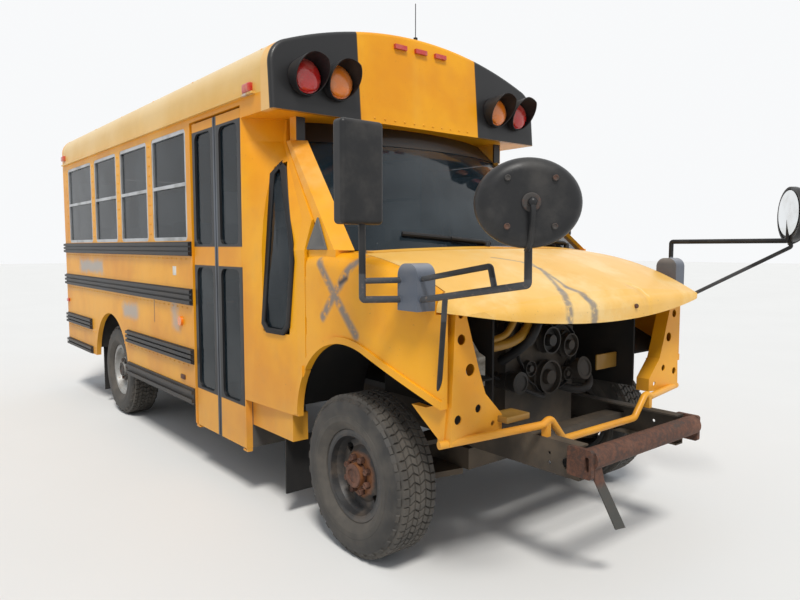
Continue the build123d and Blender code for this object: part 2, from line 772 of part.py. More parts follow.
def cap_block(inset, low):
    with BuildPart() as cap:
        with BuildSketch(across(cap_front - 50)):
            with BuildLine():
                body_outline(inset, low)
            make_face()
        extrude(amount=-cap_depth - 50 - inset)
        front = cap_front + inset
        with BuildSketch(Plane.YZ.offset(-half_width - 10)):
            Polygon((front - 200, low - 100), (front - 100 * cap_lean_run, cap_bottom - 100),
                    (front + 700 * cap_lean_run, cap_bottom + 700), (front - 200, cap_bottom + 700), align=None)
        extrude(amount=2 * half_width + 20, mode=Mode.SUBTRACT)
    return cap.part


with BuildPart() as front_cap:
    add(cap_block(0, cap_bottom))
    face = front_cap.faces().sort_by(Axis.Y)[0]
    fillet(face.edges().filter_by(lambda e: e.center().Z > cap_bottom + 5), cap_edge)
    add(cap_block(wall, cap_bottom + soffit), mode=Mode.SUBTRACT)
    x = half_width - wall
    block(-x, x, cap_back, right_front - 1, cap_bottom, cap_bottom + soffit)
    block(760, x, right_front - 1, left_front + 30, cap_bottom, cap_bottom + soffit)
    block(-x, -760, right_front - 1, right_front + 8, cap_bottom, cap_bottom + soffit)
    add(screen_band.part)

# Whip antenna on the cap
with BuildPart() as antenna:
    with Locations((15, 690, roof_top - 1)):
        Cylinder(13, 26, align=(Align.CENTER, Align.CENTER, Align.MIN))
        Cylinder(2.6, 230, align=(Align.CENTER, Align.CENTER, Align.MIN))
    block(-100, 100, 600, 800, 2500, roof_top + seat_gap, Mode.SUBTRACT)

# Cab frame: pillars, rockers, rear post and the rail over the driver's door
foot_y = 99
head_y = 738
foot_low = 1405
pillar_wide = 78
pillar_table = [(belt_z, screen_low_x, foot_y, 95), (cab_top, screen_high_x, head_y, 52)]
door_hinges = (1030, 1320)
hinge_x = 1004
hinge_front = 346.5
with BuildPart() as cab_frame:
    for side in (-1, 1):
        for z, x, y, rear in pillar_table:
            with BuildSketch(Plane.XY.offset(z)):
                Polygon((side * x, y - 45), (side * (x + pillar_wide), y + 10), (side * (x + pillar_wide), y + rear),
                        (side * x, y + rear - 20), align=None)
        loft()
        block(side * screen_high_x, side * (screen_high_x + 60), head_y - 20, left_front - 3 if side > 0 else 780,
              cab_top, cap_bottom)
    block(940, cab_x - 2, left_door_rear + 8, left_front, 500, belt_z)
    with BuildSketch(Plane.XY.offset(belt_z)):
        Polygon((940, left_door_rear + 8), (cab_x - 2, left_door_rear + 8), (cab_x - 2, left_front), (940, left_front), align=None)
    with BuildSketch(Plane.XY.offset(cab_top)):
        Polygon((770, left_door_rear + 8), (830, left_door_rear + 8), (830, left_front), (770, left_front), align=None)
    loft()
    block(900, cab_x - 8, 500, left_front, 440, 590)
    block(-cab_x + 8, -900, 500, right_front, 440, 590)
    for side in (-1, 1):
        block(side * 874.3, side * 905, 250.3, 340, 975, 1452)
        block(side * 874.3, side * 983, 100, 340, foot_low, 1452)
    add(wheel_arch_block(housing_out + seat_gap, apron_x), mode=Mode.SUBTRACT)
    for z in door_hinges:
        block(904, hinge_x, 344.5, 348.5, z, z + 80)
        block(904, 911, 320, 348.5, z, z + 80)
        with Locations((hinge_x, hinge_front, z + 40)):
            Cylinder(5, 80)
        block(998, 1012, 340, 356, z + 27, z + 53, Mode.SUBTRACT)

# Right side panel of the cab with the tall fixed window
panel_table = [
    (592, 1000, 430, 1000, 352),
    (belt_z, 1000, 430, 1000, 352),
    (1600, 962, 430, 958, 347),
    (cab_top, 850, 810, 843, 793),
    (cap_bottom, 815, 850, 808, 842),
]
lip_wide = 32
lip_proud = 9
rear_lips = []
for side in (-1, 1):
    with BuildPart() as rear_lip:
        with BuildSketch(Plane.YZ.offset(side * (cab_x - 10))):
            with BuildLine():
                wheel_arch(lip_wide)
            make_face()
        extrude(amount=side * (10 + lip_proud))
        block(side * 900, side * 1100, fender_rear + 29, 600, 604, 1100, Mode.INTERSECT)
    rear_lips.append(rear_lip.part)
arch_lip_right, arch_lip_left = rear_lips
with BuildPart() as cab_side_panel:
    for lower, upper in zip(panel_table, panel_table[1:]):
        for z, x1, y1, x2, y2 in (lower, upper):
            with BuildSketch(Plane.XY.offset(z)):
                Polygon((-half_width, right_front), (-x1, y1), (-x2, y2), (-x2 + skin, y2), (-x1 + skin, y1 + 2),
                        (-half_width + skin, right_front), align=None)
        loft(ruled=True)
    with BuildSketch(Plane.YZ.offset(-1100)):
        Polygon((500, 1010), (750, 1010), (765, 1900), (712, 1930), (450, 1440), align=None)
    extrude(amount=400, mode=Mode.SUBTRACT)
    add(arch_lip_right, mode=Mode.ADD)
    add(wheel_arch_block(0, 700), mode=Mode.SUBTRACT)

# Driver's door, upper frame leaning inward like the cab side
lean_x = (cab_x - 830) / (cab_top - belt_z)
with BuildPart() as driver_door:
    with BuildSketch(Plane.YZ.offset(cab_x - 45)):
        Polygon((350, 600), (350, belt_z), (left_door_rear, belt_z), (left_door_rear, 600), align=None)
    extrude(amount=45)
    with BuildSketch(Plane.XY.offset(belt_z)):
        Polygon((cab_x - 45, 350), (cab_x, 350), (cab_x, left_door_rear), (cab_x - 45, left_door_rear), align=None)
    with BuildSketch(Plane.XY.offset(cab_top - 10)):
        Polygon((834 - 45, 350), (834, 350), (834, left_door_rear), (834 - 45, left_door_rear), align=None)
    loft()
    with BuildSketch(Plane.YZ.offset(700)):
        Polygon((300, 1560), (350, 1560), (860, cab_top), (860, cab_top + 50), (300, cab_top + 50), align=None)
    extrude(amount=400, mode=Mode.SUBTRACT)
    with BuildSketch(Plane.YZ.offset(700)):
        Polygon((430, belt_z + 20), (430, 1570), (835, cab_top - 70), (left_door_rear - 60, cab_top - 70),
                (left_door_rear - 60, belt_z + 20), align=None)
    extrude(amount=400, mode=Mode.SUBTRACT)
    add(arch_lip_left, mode=Mode.ADD)
    add(wheel_arch_block(0, 700), mode=Mode.SUBTRACT)
    for z in door_hinges:
        with Locations((hinge_x, hinge_front, z + 40)):
            Cylinder(5, 24)
        block(1000, hinge_x, hinge_front, 390, z + 28, z + 52)
        block(990, hinge_x, 350, 356, z + 28, z + 52)
with BuildPart() as driver_glass:
    with BuildSketch(Plane.XY.offset(belt_z + 20)):
        Polygon((cab_x - 30 - 6, 350), (cab_x - 30, 350), (cab_x - 30, left_door_rear), (cab_x - 36, left_door_rear), align=None)
    with BuildSketch(Plane.XY.offset(cab_top - 70)):
        x = cab_x - lean_x * (cab_top - 70 - belt_z)
        Polygon((x - 30, 350), (x - 24, 350), (x - 24, left_door_rear), (x - 30, left_door_rear), align=None)
    loft()
    with BuildSketch(Plane.YZ.offset(700)):
        Polygon((430, belt_z + 20), (430, 1570), (835, cab_top - 70), (left_door_rear - 60, cab_top - 70),
                (left_door_rear - 60, belt_z + 20), align=None)
    extrude(amount=400, mode=Mode.INTERSECT)

# Front fenders, outside the hood seam, with a rolled lip round the wheel arch
lip_outer = nose_form(-lip_proud)
arch_hole = wheel_arch_block(0, 700)
arch_band = wheel_arch_block(lip_wide, 700)
shelf_x = 842
shelf_y = 60
seam_low = 1195
fenders = {}
for name, side in (("left", 1), ("right", -1)):
    with BuildPart() as rolled:
        add(lip_outer)
        add(inner_nose, mode=Mode.SUBTRACT)
        add(arch_band, mode=Mode.INTERSECT)
    with BuildPart() as fender:
        add(outer_nose)
        add(inner_nose, mode=Mode.SUBTRACT)
        add(rolled.part)
        with BuildSketch(Plane.XY.offset(400)):
            Polygon((side * (seam_x + seam), -900), (side * (seam_x + seam), shelf_y), (side * shelf_x, shelf_y),
                    (side * shelf_x, fender_rear), (side * 1100, fender_rear), (side * 1100, -900), align=None)
        extrude(amount=1200, mode=Mode.INTERSECT)
        with BuildSketch(Plane.YZ.offset(side * 700)):
            Polygon((fender_front, 500), (fender_front, seam_low), (seam_y + seam, seam_low), (seam_y + seam, 1600),
                    (fender_rear + 10, 1600), (fender_rear + 10, 500), align=None)
        extrude(amount=side * 500, mode=Mode.INTERSECT)
        add(arch_hole, mode=Mode.SUBTRACT)
        block(side * 860, side * 912, 249, 350, 1300, 1500, Mode.SUBTRACT)
        block(side * 800, side * 984, 99, 350, foot_low - 1, 1600, Mode.SUBTRACT)
        for z in door_hinges:
            block(side * 990, side * 1020, 336, 350, z - 3, z + 83, Mode.SUBTRACT)
    fenders[name] = fender

# Radiator support: two pressed posts with braces and the dipped tie bar on its brackets
post_y = -600
post_deep = 75
post_skin = 6
post_outline = [(875, 1225), (811, 1225), (811, 1177), (736, 949), (698, 848), (594, 744), (593, 675), (903, 655)]
post_holes = [(846, 1190, 14), (842, 1090, 22), (790, 960, 26), (740, 790, 18), (858, 760, 20), (650, 712, 12)]
brace_outline = [(-400, 803), (-479, 800), (-535, 820), (-580, 830), (-567, 653)]
tie_half = [(938, -571, 662), (440, -700, 690), (390, -700, 712), (290, -700, 600)]
tie_path = [(-x, y, z) for x, y, z in tie_half] + tie_half[::-1]
tie_bar = bar(tie_path, 17, 35)
inside_nose = nose_form(skin + seat_gap)
braces = []
for side in (-1, 1):
    with BuildPart() as brace:
        with BuildSketch(Plane.YZ.offset(side * 895)):
            Polygon(*brace_outline, align=None)
        extrude(amount=side * 100)
        add(inside_nose, mode=Mode.INTERSECT)
    braces.append(brace.part)
with BuildPart() as radiator_support:
    for side in (-1, 1):
        with BuildSketch(across(post_y)):
            Polygon(*[(side * x, z) for x, z in post_outline], align=None)
        extrude(amount=-post_deep)
        with BuildSketch(across(post_y + post_skin)):
            Polygon(*[(side * x, z) for x, z in post_outline], align=None)
            offset(amount=-post_skin, mode=Mode.REPLACE)
        extrude(amount=-post_deep, mode=Mode.SUBTRACT)
        for x, z, r in post_holes:
            with Locations((side * x, post_y, z)):
                Cylinder(r, 30, rotation=(90, 0, 0), mode=Mode.SUBTRACT)
        block(side * 402, side * 428, -716, -684, rail_bottom - horn_drop + rail_height + seat_gap, 700)
    for brace in braces:
        add(brace)
    add(tie_bar)

# Inner panels of the engine bay, the wheel housings over the front wheels and the wall behind
with BuildPart() as nose_space:
    add(inside_nose)
    block(-1100, 1100, fender_rear, 700, 300, 1600, Mode.SUBTRACT)
    block(-938, 938, fender_rear, 700, 400, 1300)
housings = []
for side in (-1, 1):
    with BuildPart() as housing:
        with BuildSketch(Plane.YZ.offset(side * (apron_x + 2))):
            with BuildLine():
                wheel_arch(housing_out)
            make_face()
            with BuildLine():
                wheel_arch(housing_in)
            make_face(mode=Mode.SUBTRACT)
        extrude(amount=side * 500)
        block(side * 500, side * 1100, -520, 700, 640, 1300, Mode.INTERSECT)
        add(nose_space.part, mode=Mode.INTERSECT)
    housings.append(housing.part)
with BuildPart() as engine_bay:
    block(-873.7, 873.7, 230, 250, rail_bottom + rail_height + seat_gap, 1400)
    block(-285, 285, 229, 251, 600, 1105, Mode.SUBTRACT)
    for side in (-1, 1):
        block(side * apron_x, side * (apron_x + apron_skin), -520, 230, 700, 1180)
    add(wheel_arch_block(housing_in, apron_x + apron_skin), mode=Mode.SUBTRACT)
    for housing in housings:
        add(housing)

# Cab floor with the engine cover
with BuildPart() as cab_floor:
    block(-938, 938, 251, left_front - 1, cab_floor_top - 30, cab_floor_top)
    block(-300, 300, 251, 900, cab_floor_top, 1120)
    block(-285, 285, 200, 885, cab_floor_top - 31, 1105, Mode.SUBTRACT)
    add(wheel_arch_block(housing_out + seat_gap, apron_x), mode=Mode.SUBTRACT)
    block(-1100, well_x, right_front, left_front + 30, 600, 800, Mode.SUBTRACT)
    for y in (600, 1100):
        block(-rail_x - 60, rail_x + 60, y, y + 40, rail_bottom + rail_height, cab_floor_top - 30)

# Dashboard, steering wheel and driver's seat
wheel_tilt = Plane(origin=(530, 660, 1330), x_dir=(1, 0, 0), z_dir=(0, 0.82, 0.57))
with BuildPart() as dashboard:
    with BuildSketch(Plane.YZ.offset(-860)):
        Polygon((251, 1050), (251, 1408), (330, 1425), (470, 1380), (500, 1200), (420, 1050), align=None)
    extrude(amount=1720)
    block(-300.3, 300.3, 250, 510, 1040, 1120.3, Mode.SUBTRACT)
    with Locations(wheel_tilt):
        Cylinder(22.4, 1200, mode=Mode.SUBTRACT)
with BuildPart() as steering_wheel:
    with Locations(wheel_tilt):
        Torus(185, 14)
        Cylinder(45, 30)
        with PolarLocations(0, 3, start_angle=90):
            with Locations((92, 0, 0)):
                Box(184, 26, 14)
        with Locations((0, 0, -110)):
            Cylinder(22, 190)
with BuildPart() as driver_seat:
    block(310, 780, 860, 1330, 950, 1060)
    block(320, 770, 1260, 1360, 1060, 1620)
    block(400, 680, 950, 1280, cab_floor_top, 950)

# Bench seats in rows
bench_rows = [2150, 2840, 3530, 4220]
bench_wide = 860
with BuildPart() as bench_cushions:
    for y in bench_rows:
        for side in (-1, 1):
            x0 = side * (half_width - wall - 20)
            x1 = x0 - side * (bench_wide - 140)
            block(x0, x1, y - 380, y + 20, 1120, 1220)
            block(x0, x1, y + 20, y + 110, 1120, 1660)
    for y in bench_rows:
        for side in (-1, 1):
            x0 = side * (half_width - wall)
            x1 = x0 - side * (bench_wide - 160)
            block(x0, x1, y - 330, y - 300, 1085, 1120)
            block(x0, x1, y + 50, y + 80, 1085, 1120)
            for yy in (y - 330, y + 50):
                block(x1, x1 + side * 30, yy, yy + 30, floor_top, 1085)

# Lamps on the cap and the rear, and small markers
lamp_table = [(838, 2361, 90), (632, 2361, 90)]
id_lamps = (-160, 0, 160)
cap_face = Plane(origin=(0, cap_front - seat_gap, cap_bottom), x_dir=(1, 0, 0), z_dir=(0, -1, cap_lean_run))
cap_rise = sqrt(1 + cap_lean_run ** 2)
with BuildPart() as warning_lamps:
    for side in (-1, 1):
        for x, z, r in lamp_table:
            with Locations(cap_face.offset(14)):
                with Locations((side * x, (z - cap_bottom) * cap_rise)):
                    Cylinder(r, 28)
            with Locations((side * x, body_rear + 14, z)):
                Cylinder(r, 28, rotation=(90, 0, 0))
    for x in id_lamps:
        with Locations(cap_face.offset(9)):
            with Locations((x, (2644 - cap_bottom) * cap_rise)):
                Box(90, 26, 18)
        block(x - 45, x + 45, body_rear, body_rear + 18, 2632, 2658)
    for side in (-1, 1):
        for x, z, r in ((900, 1380, 80), (900, 1180, 50), (900, 1050, 40)):
            with Locations((side * x, body_rear + 10, z)):
                Cylinder(r, 20, rotation=(90, 0, 0))
        with Locations((side * (half_width + 8), 1896, 964)):
            Cylinder(32, 16, rotation=(0, 90, 0))
        block(side * half_width, side * (half_width + 16), 4930, 4990, 905, 935)

# Mud flaps behind the wheels
with BuildPart() as mud_flaps:
    for side in (-1, 1):
        block(side * 740, side * 985, 590, 598, 130, 439.7)
        block(side * 740, side * 960, tub_rear + 30, tub_rear + 38, 120, 739.7)
    block(740, 985, 590, 598, 130, 439.7)

# Mirror heads: the flat one and the domed oval one
with BuildPart() as flat_head:
    Box(200, 70, 398)
    fillet(flat_head.edges(), 18)
    with Locations((0, 35, 0)):
        Box(168, 6, 362, mode=Mode.SUBTRACT)
with BuildPart() as oval_head:
    with BuildSketch():
        Ellipse(173, 144)
    extrude(amount=60)
    fillet(oval_head.edges().group_by(Axis.Z)[-1], 45)
    with BuildSketch():
        Ellipse(162, 133)
    extrude(amount=5, mode=Mode.SUBTRACT)

# Mirror brackets on the fenders with the arms out to the oval mirrors
bracket_x = 1035
bracket_y = (-549, -426)
bracket_z = (1210, 1400)
fitted = nose_form(-0.5)
arm_lines = {
    "right": [
        ([(1012, -500, 1250), (1040, -1105, 1342), (1050, -1112, 1600)], 13),
        ([(1012, -520, 1334), (1025, -925, 1399), (1030, -950, 1322)], 11),
        ([(1018, -690, 1279), (925, -556, 872)], 11),
        ([(1190, -397, 1556), (1190, -397, 1258), (1015, -440, 1254)], 14),
        ([(1190, -397, 1332), (1015, -445, 1332)], 12),
    ],
    "left": [
        ([(1012, -476, 1335), (1012, -476, 1495), (1035, -1104, 1497), (1040, -1104, 1630)], 13),
        ([(925, -590, 1160), (1040, -1120, 1466), (1037, -1106, 1505)], 10),
    ],
}
facing = {"right": (-0.62, -0.785, 0), "left": (0.62, -0.785, 0)}
mirrors = {}
for name, side in (("left", 1), ("right", -1)):
    x, y, z = cross_mirrors[name]
    arms = [bar([(side * a, b, c) for a, b, c in points], size) for points, size in arm_lines[name]]
    with BuildPart() as mirror:
        block(side * 940, side * bracket_x, *bracket_y, *bracket_z)
        fillet(mirror.edges().filter_by(Axis.X).group_by(Axis.Z)[-1], 50)
        for arm in arms:
            add(arm)
        with Locations(Plane(origin=(side * x, y, z), x_dir=(facing[name][1], -facing[name][0], 0), z_dir=facing[name])):
            add(oval_head.part)
        if name == "right":
            with Locations((side * mirror_x, mirror_y, 1751)):
                add(flat_head.part)
        add(fitted, mode=Mode.SUBTRACT)
    mirrors[name] = mirror

# Flat mirror on the driver's door
door_mirror_y = 470
door_arms = [
    [(1190, door_mirror_y, 1570), (1190, door_mirror_y, 1290), (cab_x + 4, door_mirror_y, 1290)],
    [(1190, door_mirror_y, 1410), (cab_x + 4, door_mirror_y, 1410)],
]
door_bars = [bar(points, 12) for points in door_arms]
with BuildPart() as door_mirror:
    block(cab_x + seat_gap, cab_x + 10, door_mirror_y - 30, door_mirror_y + 30, 1260, 1440)
    for rod in door_bars:
        add(rod)
    with Locations((1190, door_mirror_y, 1742)):
        add(flat_head.part)

# Stop arm on the driver's side
with BuildPart() as stop_arm:
    with BuildSketch(Plane.YZ.offset(half_width + 30)):
        with Locations((1900, 1290)):
            RegularPolygon(230, 8, rotation=22.5)
    extrude(amount=12)
    block(half_width + 18, half_width + 32, 1648, 1730, 1226, 1354)
    with Locations((half_width + 25, 1654, 1290)):
        Cylinder(6, 170)

pieces = {
    "frame_rails": frame_rails,
    "front_crossmember": front_crossmember,
    "front_suspension": front_suspension,
    "steering_knuckle_left": knuckles["left"],
    "steering_knuckle_right": knuckles["right"],
    "rear_axle": rear_axle,
    "drive_shaft": drive_shaft,
    "engine_block": engine_block,
    "fuel_tank": fuel_tank,
    "exhaust": exhaust,
    "bus_floor": bus_floor,
    "wheel_boxes": wheel_boxes,
    "step_well": step_well,
    "body_side_left": sides["left"],
    "body_side_right": sides["right"],
    "window_frames": window_frames,
    "body_glass": side_glass,
    "rub_rails": rub_rails,
    "body_roof": body_roof,
    "front_cap": front_cap,
    "antenna": antenna,
    "rear_wall": rear_wall,
    "rear_door": rear_door,
    "rear_door_glass": rear_door_glass,
    "rear_bumper": rear_bumper,
    "entrance_door_front": leaves["front"],
    "entrance_door_rear": leaves["rear"],
    "entrance_glass_front": leaf_glass["front"],
    "entrance_glass_rear": leaf_glass["rear"],
    "hood": hood,
    "cowl": cowl,
    "windscreen": windscreen,
    "cab_frame": cab_frame,
    "cab_side_panel": cab_side_panel,
    "driver_door": driver_door,
    "driver_door_glass": driver_glass,
    "fender_left": fenders["left"],
    "fender_right": fenders["right"],
    "radiator_support": radiator_support,
    "engine_bay": engine_bay,
    "cab_floor": cab_floor,
    "dashboard": dashboard,
    "steering_wheel": steering_wheel,
    "driver_seat": driver_seat,
    "bench_seats": bench_cushions,
    "lamps": warning_lamps,
    "mud_flaps": mud_flaps,
    "stop_arm": stop_arm,
    "mirrors_left": mirrors["left"],
    "mirrors_right": mirrors["right"],
    "door_mirror": door_mirror,
}
for name in wheel_table:
    pieces["wheel_" + name] = wheels[name]
    pieces["tyre_" + name] = tyres[name]

# Middle of the whole length
boxes = [piece.part.bounding_box() for piece in pieces.values()]
mid_y = (min(box.min.Y for box in boxes) + max(box.max.Y for box in boxes)) / 2
print("mid_y", mid_y)

os.makedirs("parts", exist_ok=True)
for name, piece in pieces.items():
    moved = piece.part.moved(Location((0, -mid_y, 0)))
    moved.label = name
    export_step(moved, "parts/" + name + ".step")
    box = moved.bounding_box()
    print(name, [round(v) for v in (*box.min, *box.max)], len(moved.solids()))
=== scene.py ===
# %% [markdown]
# # A short school bus with a stripped nose
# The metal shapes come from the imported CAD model, which this notebook treats as a fixed frame.
# Blender adds what CAD leaves plain: paint that has aged, rust, glass, rubber, padded seats,
# lamps and small trim. Everything is in metres, with the ground at z = 0.

# %% Load the frame
import bpy, math
from mathutils import Vector, Matrix


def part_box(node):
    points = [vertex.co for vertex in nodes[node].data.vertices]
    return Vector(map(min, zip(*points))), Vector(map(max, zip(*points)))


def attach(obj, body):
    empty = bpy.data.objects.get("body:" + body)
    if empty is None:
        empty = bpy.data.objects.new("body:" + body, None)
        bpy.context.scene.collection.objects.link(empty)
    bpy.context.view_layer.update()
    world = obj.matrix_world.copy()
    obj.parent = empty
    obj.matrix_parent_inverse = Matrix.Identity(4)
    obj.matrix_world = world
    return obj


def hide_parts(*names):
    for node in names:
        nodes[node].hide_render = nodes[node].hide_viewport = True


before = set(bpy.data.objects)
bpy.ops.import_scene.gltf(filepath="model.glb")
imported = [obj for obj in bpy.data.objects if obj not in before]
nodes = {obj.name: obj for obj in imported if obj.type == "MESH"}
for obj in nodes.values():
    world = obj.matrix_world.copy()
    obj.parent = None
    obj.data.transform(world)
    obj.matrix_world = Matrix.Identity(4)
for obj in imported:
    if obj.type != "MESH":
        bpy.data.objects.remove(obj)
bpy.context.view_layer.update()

# %% [markdown]
# The bus faces -Y, and its driver sits on the +X side. The front axle is the natural zero for
# everything near the nose, so one helper turns "metres behind the front axle" into a Y value.

# %% Places along the bus
tyre_low, tyre_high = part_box("tyre_front_left")
axle_y = (tyre_low.y + tyre_high.y) / 2


def aft(metres):
    """Y of a spot so many metres behind the front axle. Ahead of it they are negative."""
    return axle_y + metres


print("front axle at y =", round(axle_y, 3))

# %% [markdown]
# The camera stands where the photographer stood, at the front corner on the entrance side, at
# head height. A lens of about 30 mm matches how strongly the sides run together.

# %% Camera
camera = bpy.data.objects.new("camera", bpy.data.cameras.new("camera"))
bpy.context.scene.collection.objects.link(camera)
camera.location = (-2.7279, aft(-2.5102), 1.4667)
yaw, pitch = math.radians(39.3), math.radians(-4.6)
forward = Vector((math.sin(yaw) * math.cos(pitch), math.cos(yaw) * math.cos(pitch), math.sin(pitch)))
camera.rotation_mode = "QUATERNION"
camera.rotation_quaternion = forward.to_track_quat("-Z", "Y")
camera.data.lens = 29.88
camera.data.sensor_width = 36
camera.data.clip_end = 200
bpy.context.scene.camera = camera
print("camera", [round(v, 3) for v in camera.location])

# %% [markdown]
# The light is a plain studio: an even, slightly cool world, one large soft sun from the front of
# the entrance side, and a pale floor. Rays that the camera sends straight into the world see
# white, so the backdrop is clean without adding any light to the bus.

# %% World and lamps
scene = bpy.context.scene
scene.view_settings.view_transform = "Standard"
world = bpy.data.worlds.new("studio")
scene.world = world
world.use_nodes = True
tree = world.node_tree
soft_sky = tree.nodes["Background"]
soft_sky.inputs["Color"].default_value = (0.86, 0.92, 1.0, 1)
soft_sky.inputs["Strength"].default_value = 0.52
plain_white = tree.nodes.new("ShaderNodeBackground")
plain_white.inputs["Color"].default_value = (0.94, 0.95, 0.96, 1)
plain_white.inputs["Strength"].default_value = 1.0
rays = tree.nodes.new("ShaderNodeLightPath")
seen = tree.nodes.new("ShaderNodeMath")
seen.operation = "MAXIMUM"
tree.links.new(rays.outputs["Is Camera Ray"], seen.inputs[0])
tree.links.new(rays.outputs["Is Transmission Ray"], seen.inputs[1])
white = tree.nodes.new("ShaderNodeMath")
white.operation = "MAXIMUM"
tree.links.new(seen.outputs[0], white.inputs[0])
tree.links.new(rays.outputs["Is Glossy Ray"], white.inputs[1])
either = tree.nodes.new("ShaderNodeMixShader")
tree.links.new(white.outputs[0], either.inputs[0])
tree.links.new(soft_sky.outputs[0], either.inputs[1])
tree.links.new(plain_white.outputs[0], either.inputs[2])
tree.links.new(either.outputs[0], tree.nodes["World Output"].inputs["Surface"])

sun = bpy.data.objects.new("sun", bpy.data.lights.new("sun", "SUN"))
scene.collection.objects.link(sun)
sun.data.energy = 2.7
sun.data.angle = math.radians(14)
sun.data.color = (1.0, 0.97, 0.92)
sun.rotation_mode = "QUATERNION"
sun.rotation_quaternion = Vector((0.42, 0.62, -1.15)).to_track_quat("-Z", "Y")
print("sun", sun.data.energy, "world", 0.52)

# %% [markdown]
# Shader networks read like sums when a socket can be used in arithmetic. `Value` wraps one
# number socket, and adding, multiplying or comparing it makes the Math node for it. `Finish`
# is one material: its `node` method makes any other node from its type, settings and inputs.

# %% Shader arithmetic


class Value:
    """A number coming out of a node, usable in ordinary arithmetic."""

    def __init__(self, finish, socket):
        self.finish = finish
        self.socket = socket

    def maths(self, operation, a, b=0.0):
        """Makes one Math node and gives back its result."""
        return self.finish.node("ShaderNodeMath", {"operation": operation}, {0: a, 1: b})

    def __add__(self, other):
        return self.maths("ADD", self, other)

    def __sub__(self, other):
        return self.maths("SUBTRACT", self, other)

    def __mul__(self, other):
        return self.maths("MULTIPLY", self, other)

    def __pow__(self, other):
        return self.maths("POWER", self, other)

    def __lt__(self, other):
        return self.maths("LESS_THAN", self, other)

    def __abs__(self):
        return self.maths("ABSOLUTE", self)

    def __rsub__(self, other):
        return self.maths("SUBTRACT", other, self)

    __radd__ = __add__
    __rmul__ = __mul__

    def highest(self, other):
        return self.maths("MAXIMUM", self, other)

    def lowest(self, other):
        return self.maths("MINIMUM", self, other)


class Finish:
    """One material, with its shader and the object's own coordinates at hand."""

    def __init__(self, name, rough=0.5, metal=0.0):
        self.material = bpy.data.materials.new(name)
        self.material.use_nodes = True
        self.tree = self.material.node_tree
        self.shader = self.tree.nodes["Principled BSDF"]
        self.set("Roughness", rough)
        self.set("Metallic", metal)
        self.place = self.node("ShaderNodeTexCoord", {}, {}, "Object")
        apart = self.node("ShaderNodeSeparateXYZ", {}, {0: self.place})
        self.x = apart
        self.y = Value(self, apart.socket.node.outputs[1]) - axle_y
        self.z = Value(self, apart.socket.node.outputs[2])

    def feed(self, socket, value):
        """Links a value to a socket, or puts a plain number or colour on it."""
        if isinstance(value, Value):
            self.tree.links.new(value.socket, socket)
        elif hasattr(socket, "default_value"):
            if isinstance(value, tuple) and len(value) == 3 and socket.type == "RGBA":
                value = (*value, 1.0)
            socket.default_value = value

    def node(self, kind, settings, inputs, out=0):
        """Makes a node from its type, settings and inputs, and gives back one of its outputs."""
        made = self.tree.nodes.new(kind)
        for key, value in settings.items():
            setattr(made, key, value)
        for key, value in inputs.items():
            self.feed(made.inputs[key], value)
        return Value(self, made.outputs[out])

    def set(self, name, value):
        self.feed(self.shader.inputs[name], value)

    def noise(self, scale, detail=3.0, stretch=(1, 1, 1), rough=0.55):
        """A cloudy number. A stretch below 1 draws the clouds out along that axis."""
        at = self.place
        if stretch != (1, 1, 1):
            at = self.node("ShaderNodeMapping", {}, {"Vector": at, "Scale": stretch})
        inputs = {"Vector": at, "Scale": scale, "Detail": detail, "Roughness": rough}
        return self.node("ShaderNodeTexNoise", {}, inputs)

    def smooth(self, value, low, high):
        """0 below low and 1 above high, or the other way round when low is the larger."""
        settings = {"interpolation_type": "SMOOTHSTEP"}
        if low < high:
            return self.node("ShaderNodeMapRange", settings, {0: value, 1: low, 2: high})
        return 1 - self.node("ShaderNodeMapRange", settings, {0: value, 1: high, 2: low})

    def band(self, value, low, high, soft):
        """1 between low and high, and 0 outside."""
        return self.smooth(value, low - soft, low + soft) * self.smooth(value, high + soft, high - soft)

    def mix(self, factor, a, b):
        settings = {"data_type": "RGBA", "blend_type": "MIX"}
        return self.node("ShaderNodeMix", settings, {0: factor, 6: a, 7: b}, 2)

    def stroke(self, start, end, wide, soft, flat=(1, 1, 1)):
        """1 along a line between two points, fading out at its edge. flat 0 ignores that axis."""
        start = Vector([a * b for a, b in zip(start, flat)])
        end = Vector([a * b for a, b in zip(end, flat)])
        run = end - start
        at = self.node("ShaderNodeVectorMath", {"operation": "MULTIPLY"}, {0: self.place, 1: flat})
        off = self.node("ShaderNodeVectorMath", {"operation": "SUBTRACT"}, {0: at, 1: tuple(start)})
        along = self.node("ShaderNodeVectorMath", {"operation": "DOT_PRODUCT"}, {0: off, 1: tuple(run)}, 1)
        along = (along * (1 / run.length_squared)).highest(0.0).lowest(1.0)
        base = self.node("ShaderNodeVectorMath", {"operation": "SCALE"}, {0: tuple(run), "Scale": along})
        gap = self.node("ShaderNodeVectorMath", {"operation": "DISTANCE"}, {0: off, 1: base}, 1)
        return self.smooth(gap, wide + soft, wide - soft)

    def bump(self, height, strength=0.3, distance=0.002):
        inputs = {"Strength": strength, "Distance": distance, "Height": height}
        self.set("Normal", self.node("ShaderNodeBump", {}, inputs))

    def done(self, colour):
        self.set("Base Color", colour)
        return self.material


print("shader helper ready")

# %% [markdown]
# School-bus yellow ages in layers. The gloss coat dulls in clouds, dust settles low down, and
# rain leaves faint streaks. `aged_yellow` lays these over any base colour, and each panel that
# carries its own marks (spray patches, a rust drip, a faded hood) adds them on top.

# %% Aged yellow paint
yellow = (0.86, 0.385, 0.003)
deep_yellow = (0.74, 0.285, 0.002)
pale_yellow = (0.88, 0.50, 0.06)
road_dust = (0.33, 0.25, 0.16)
spray_grey = (0.36, 0.35, 0.33)
rust_brown = (0.16, 0.055, 0.018)


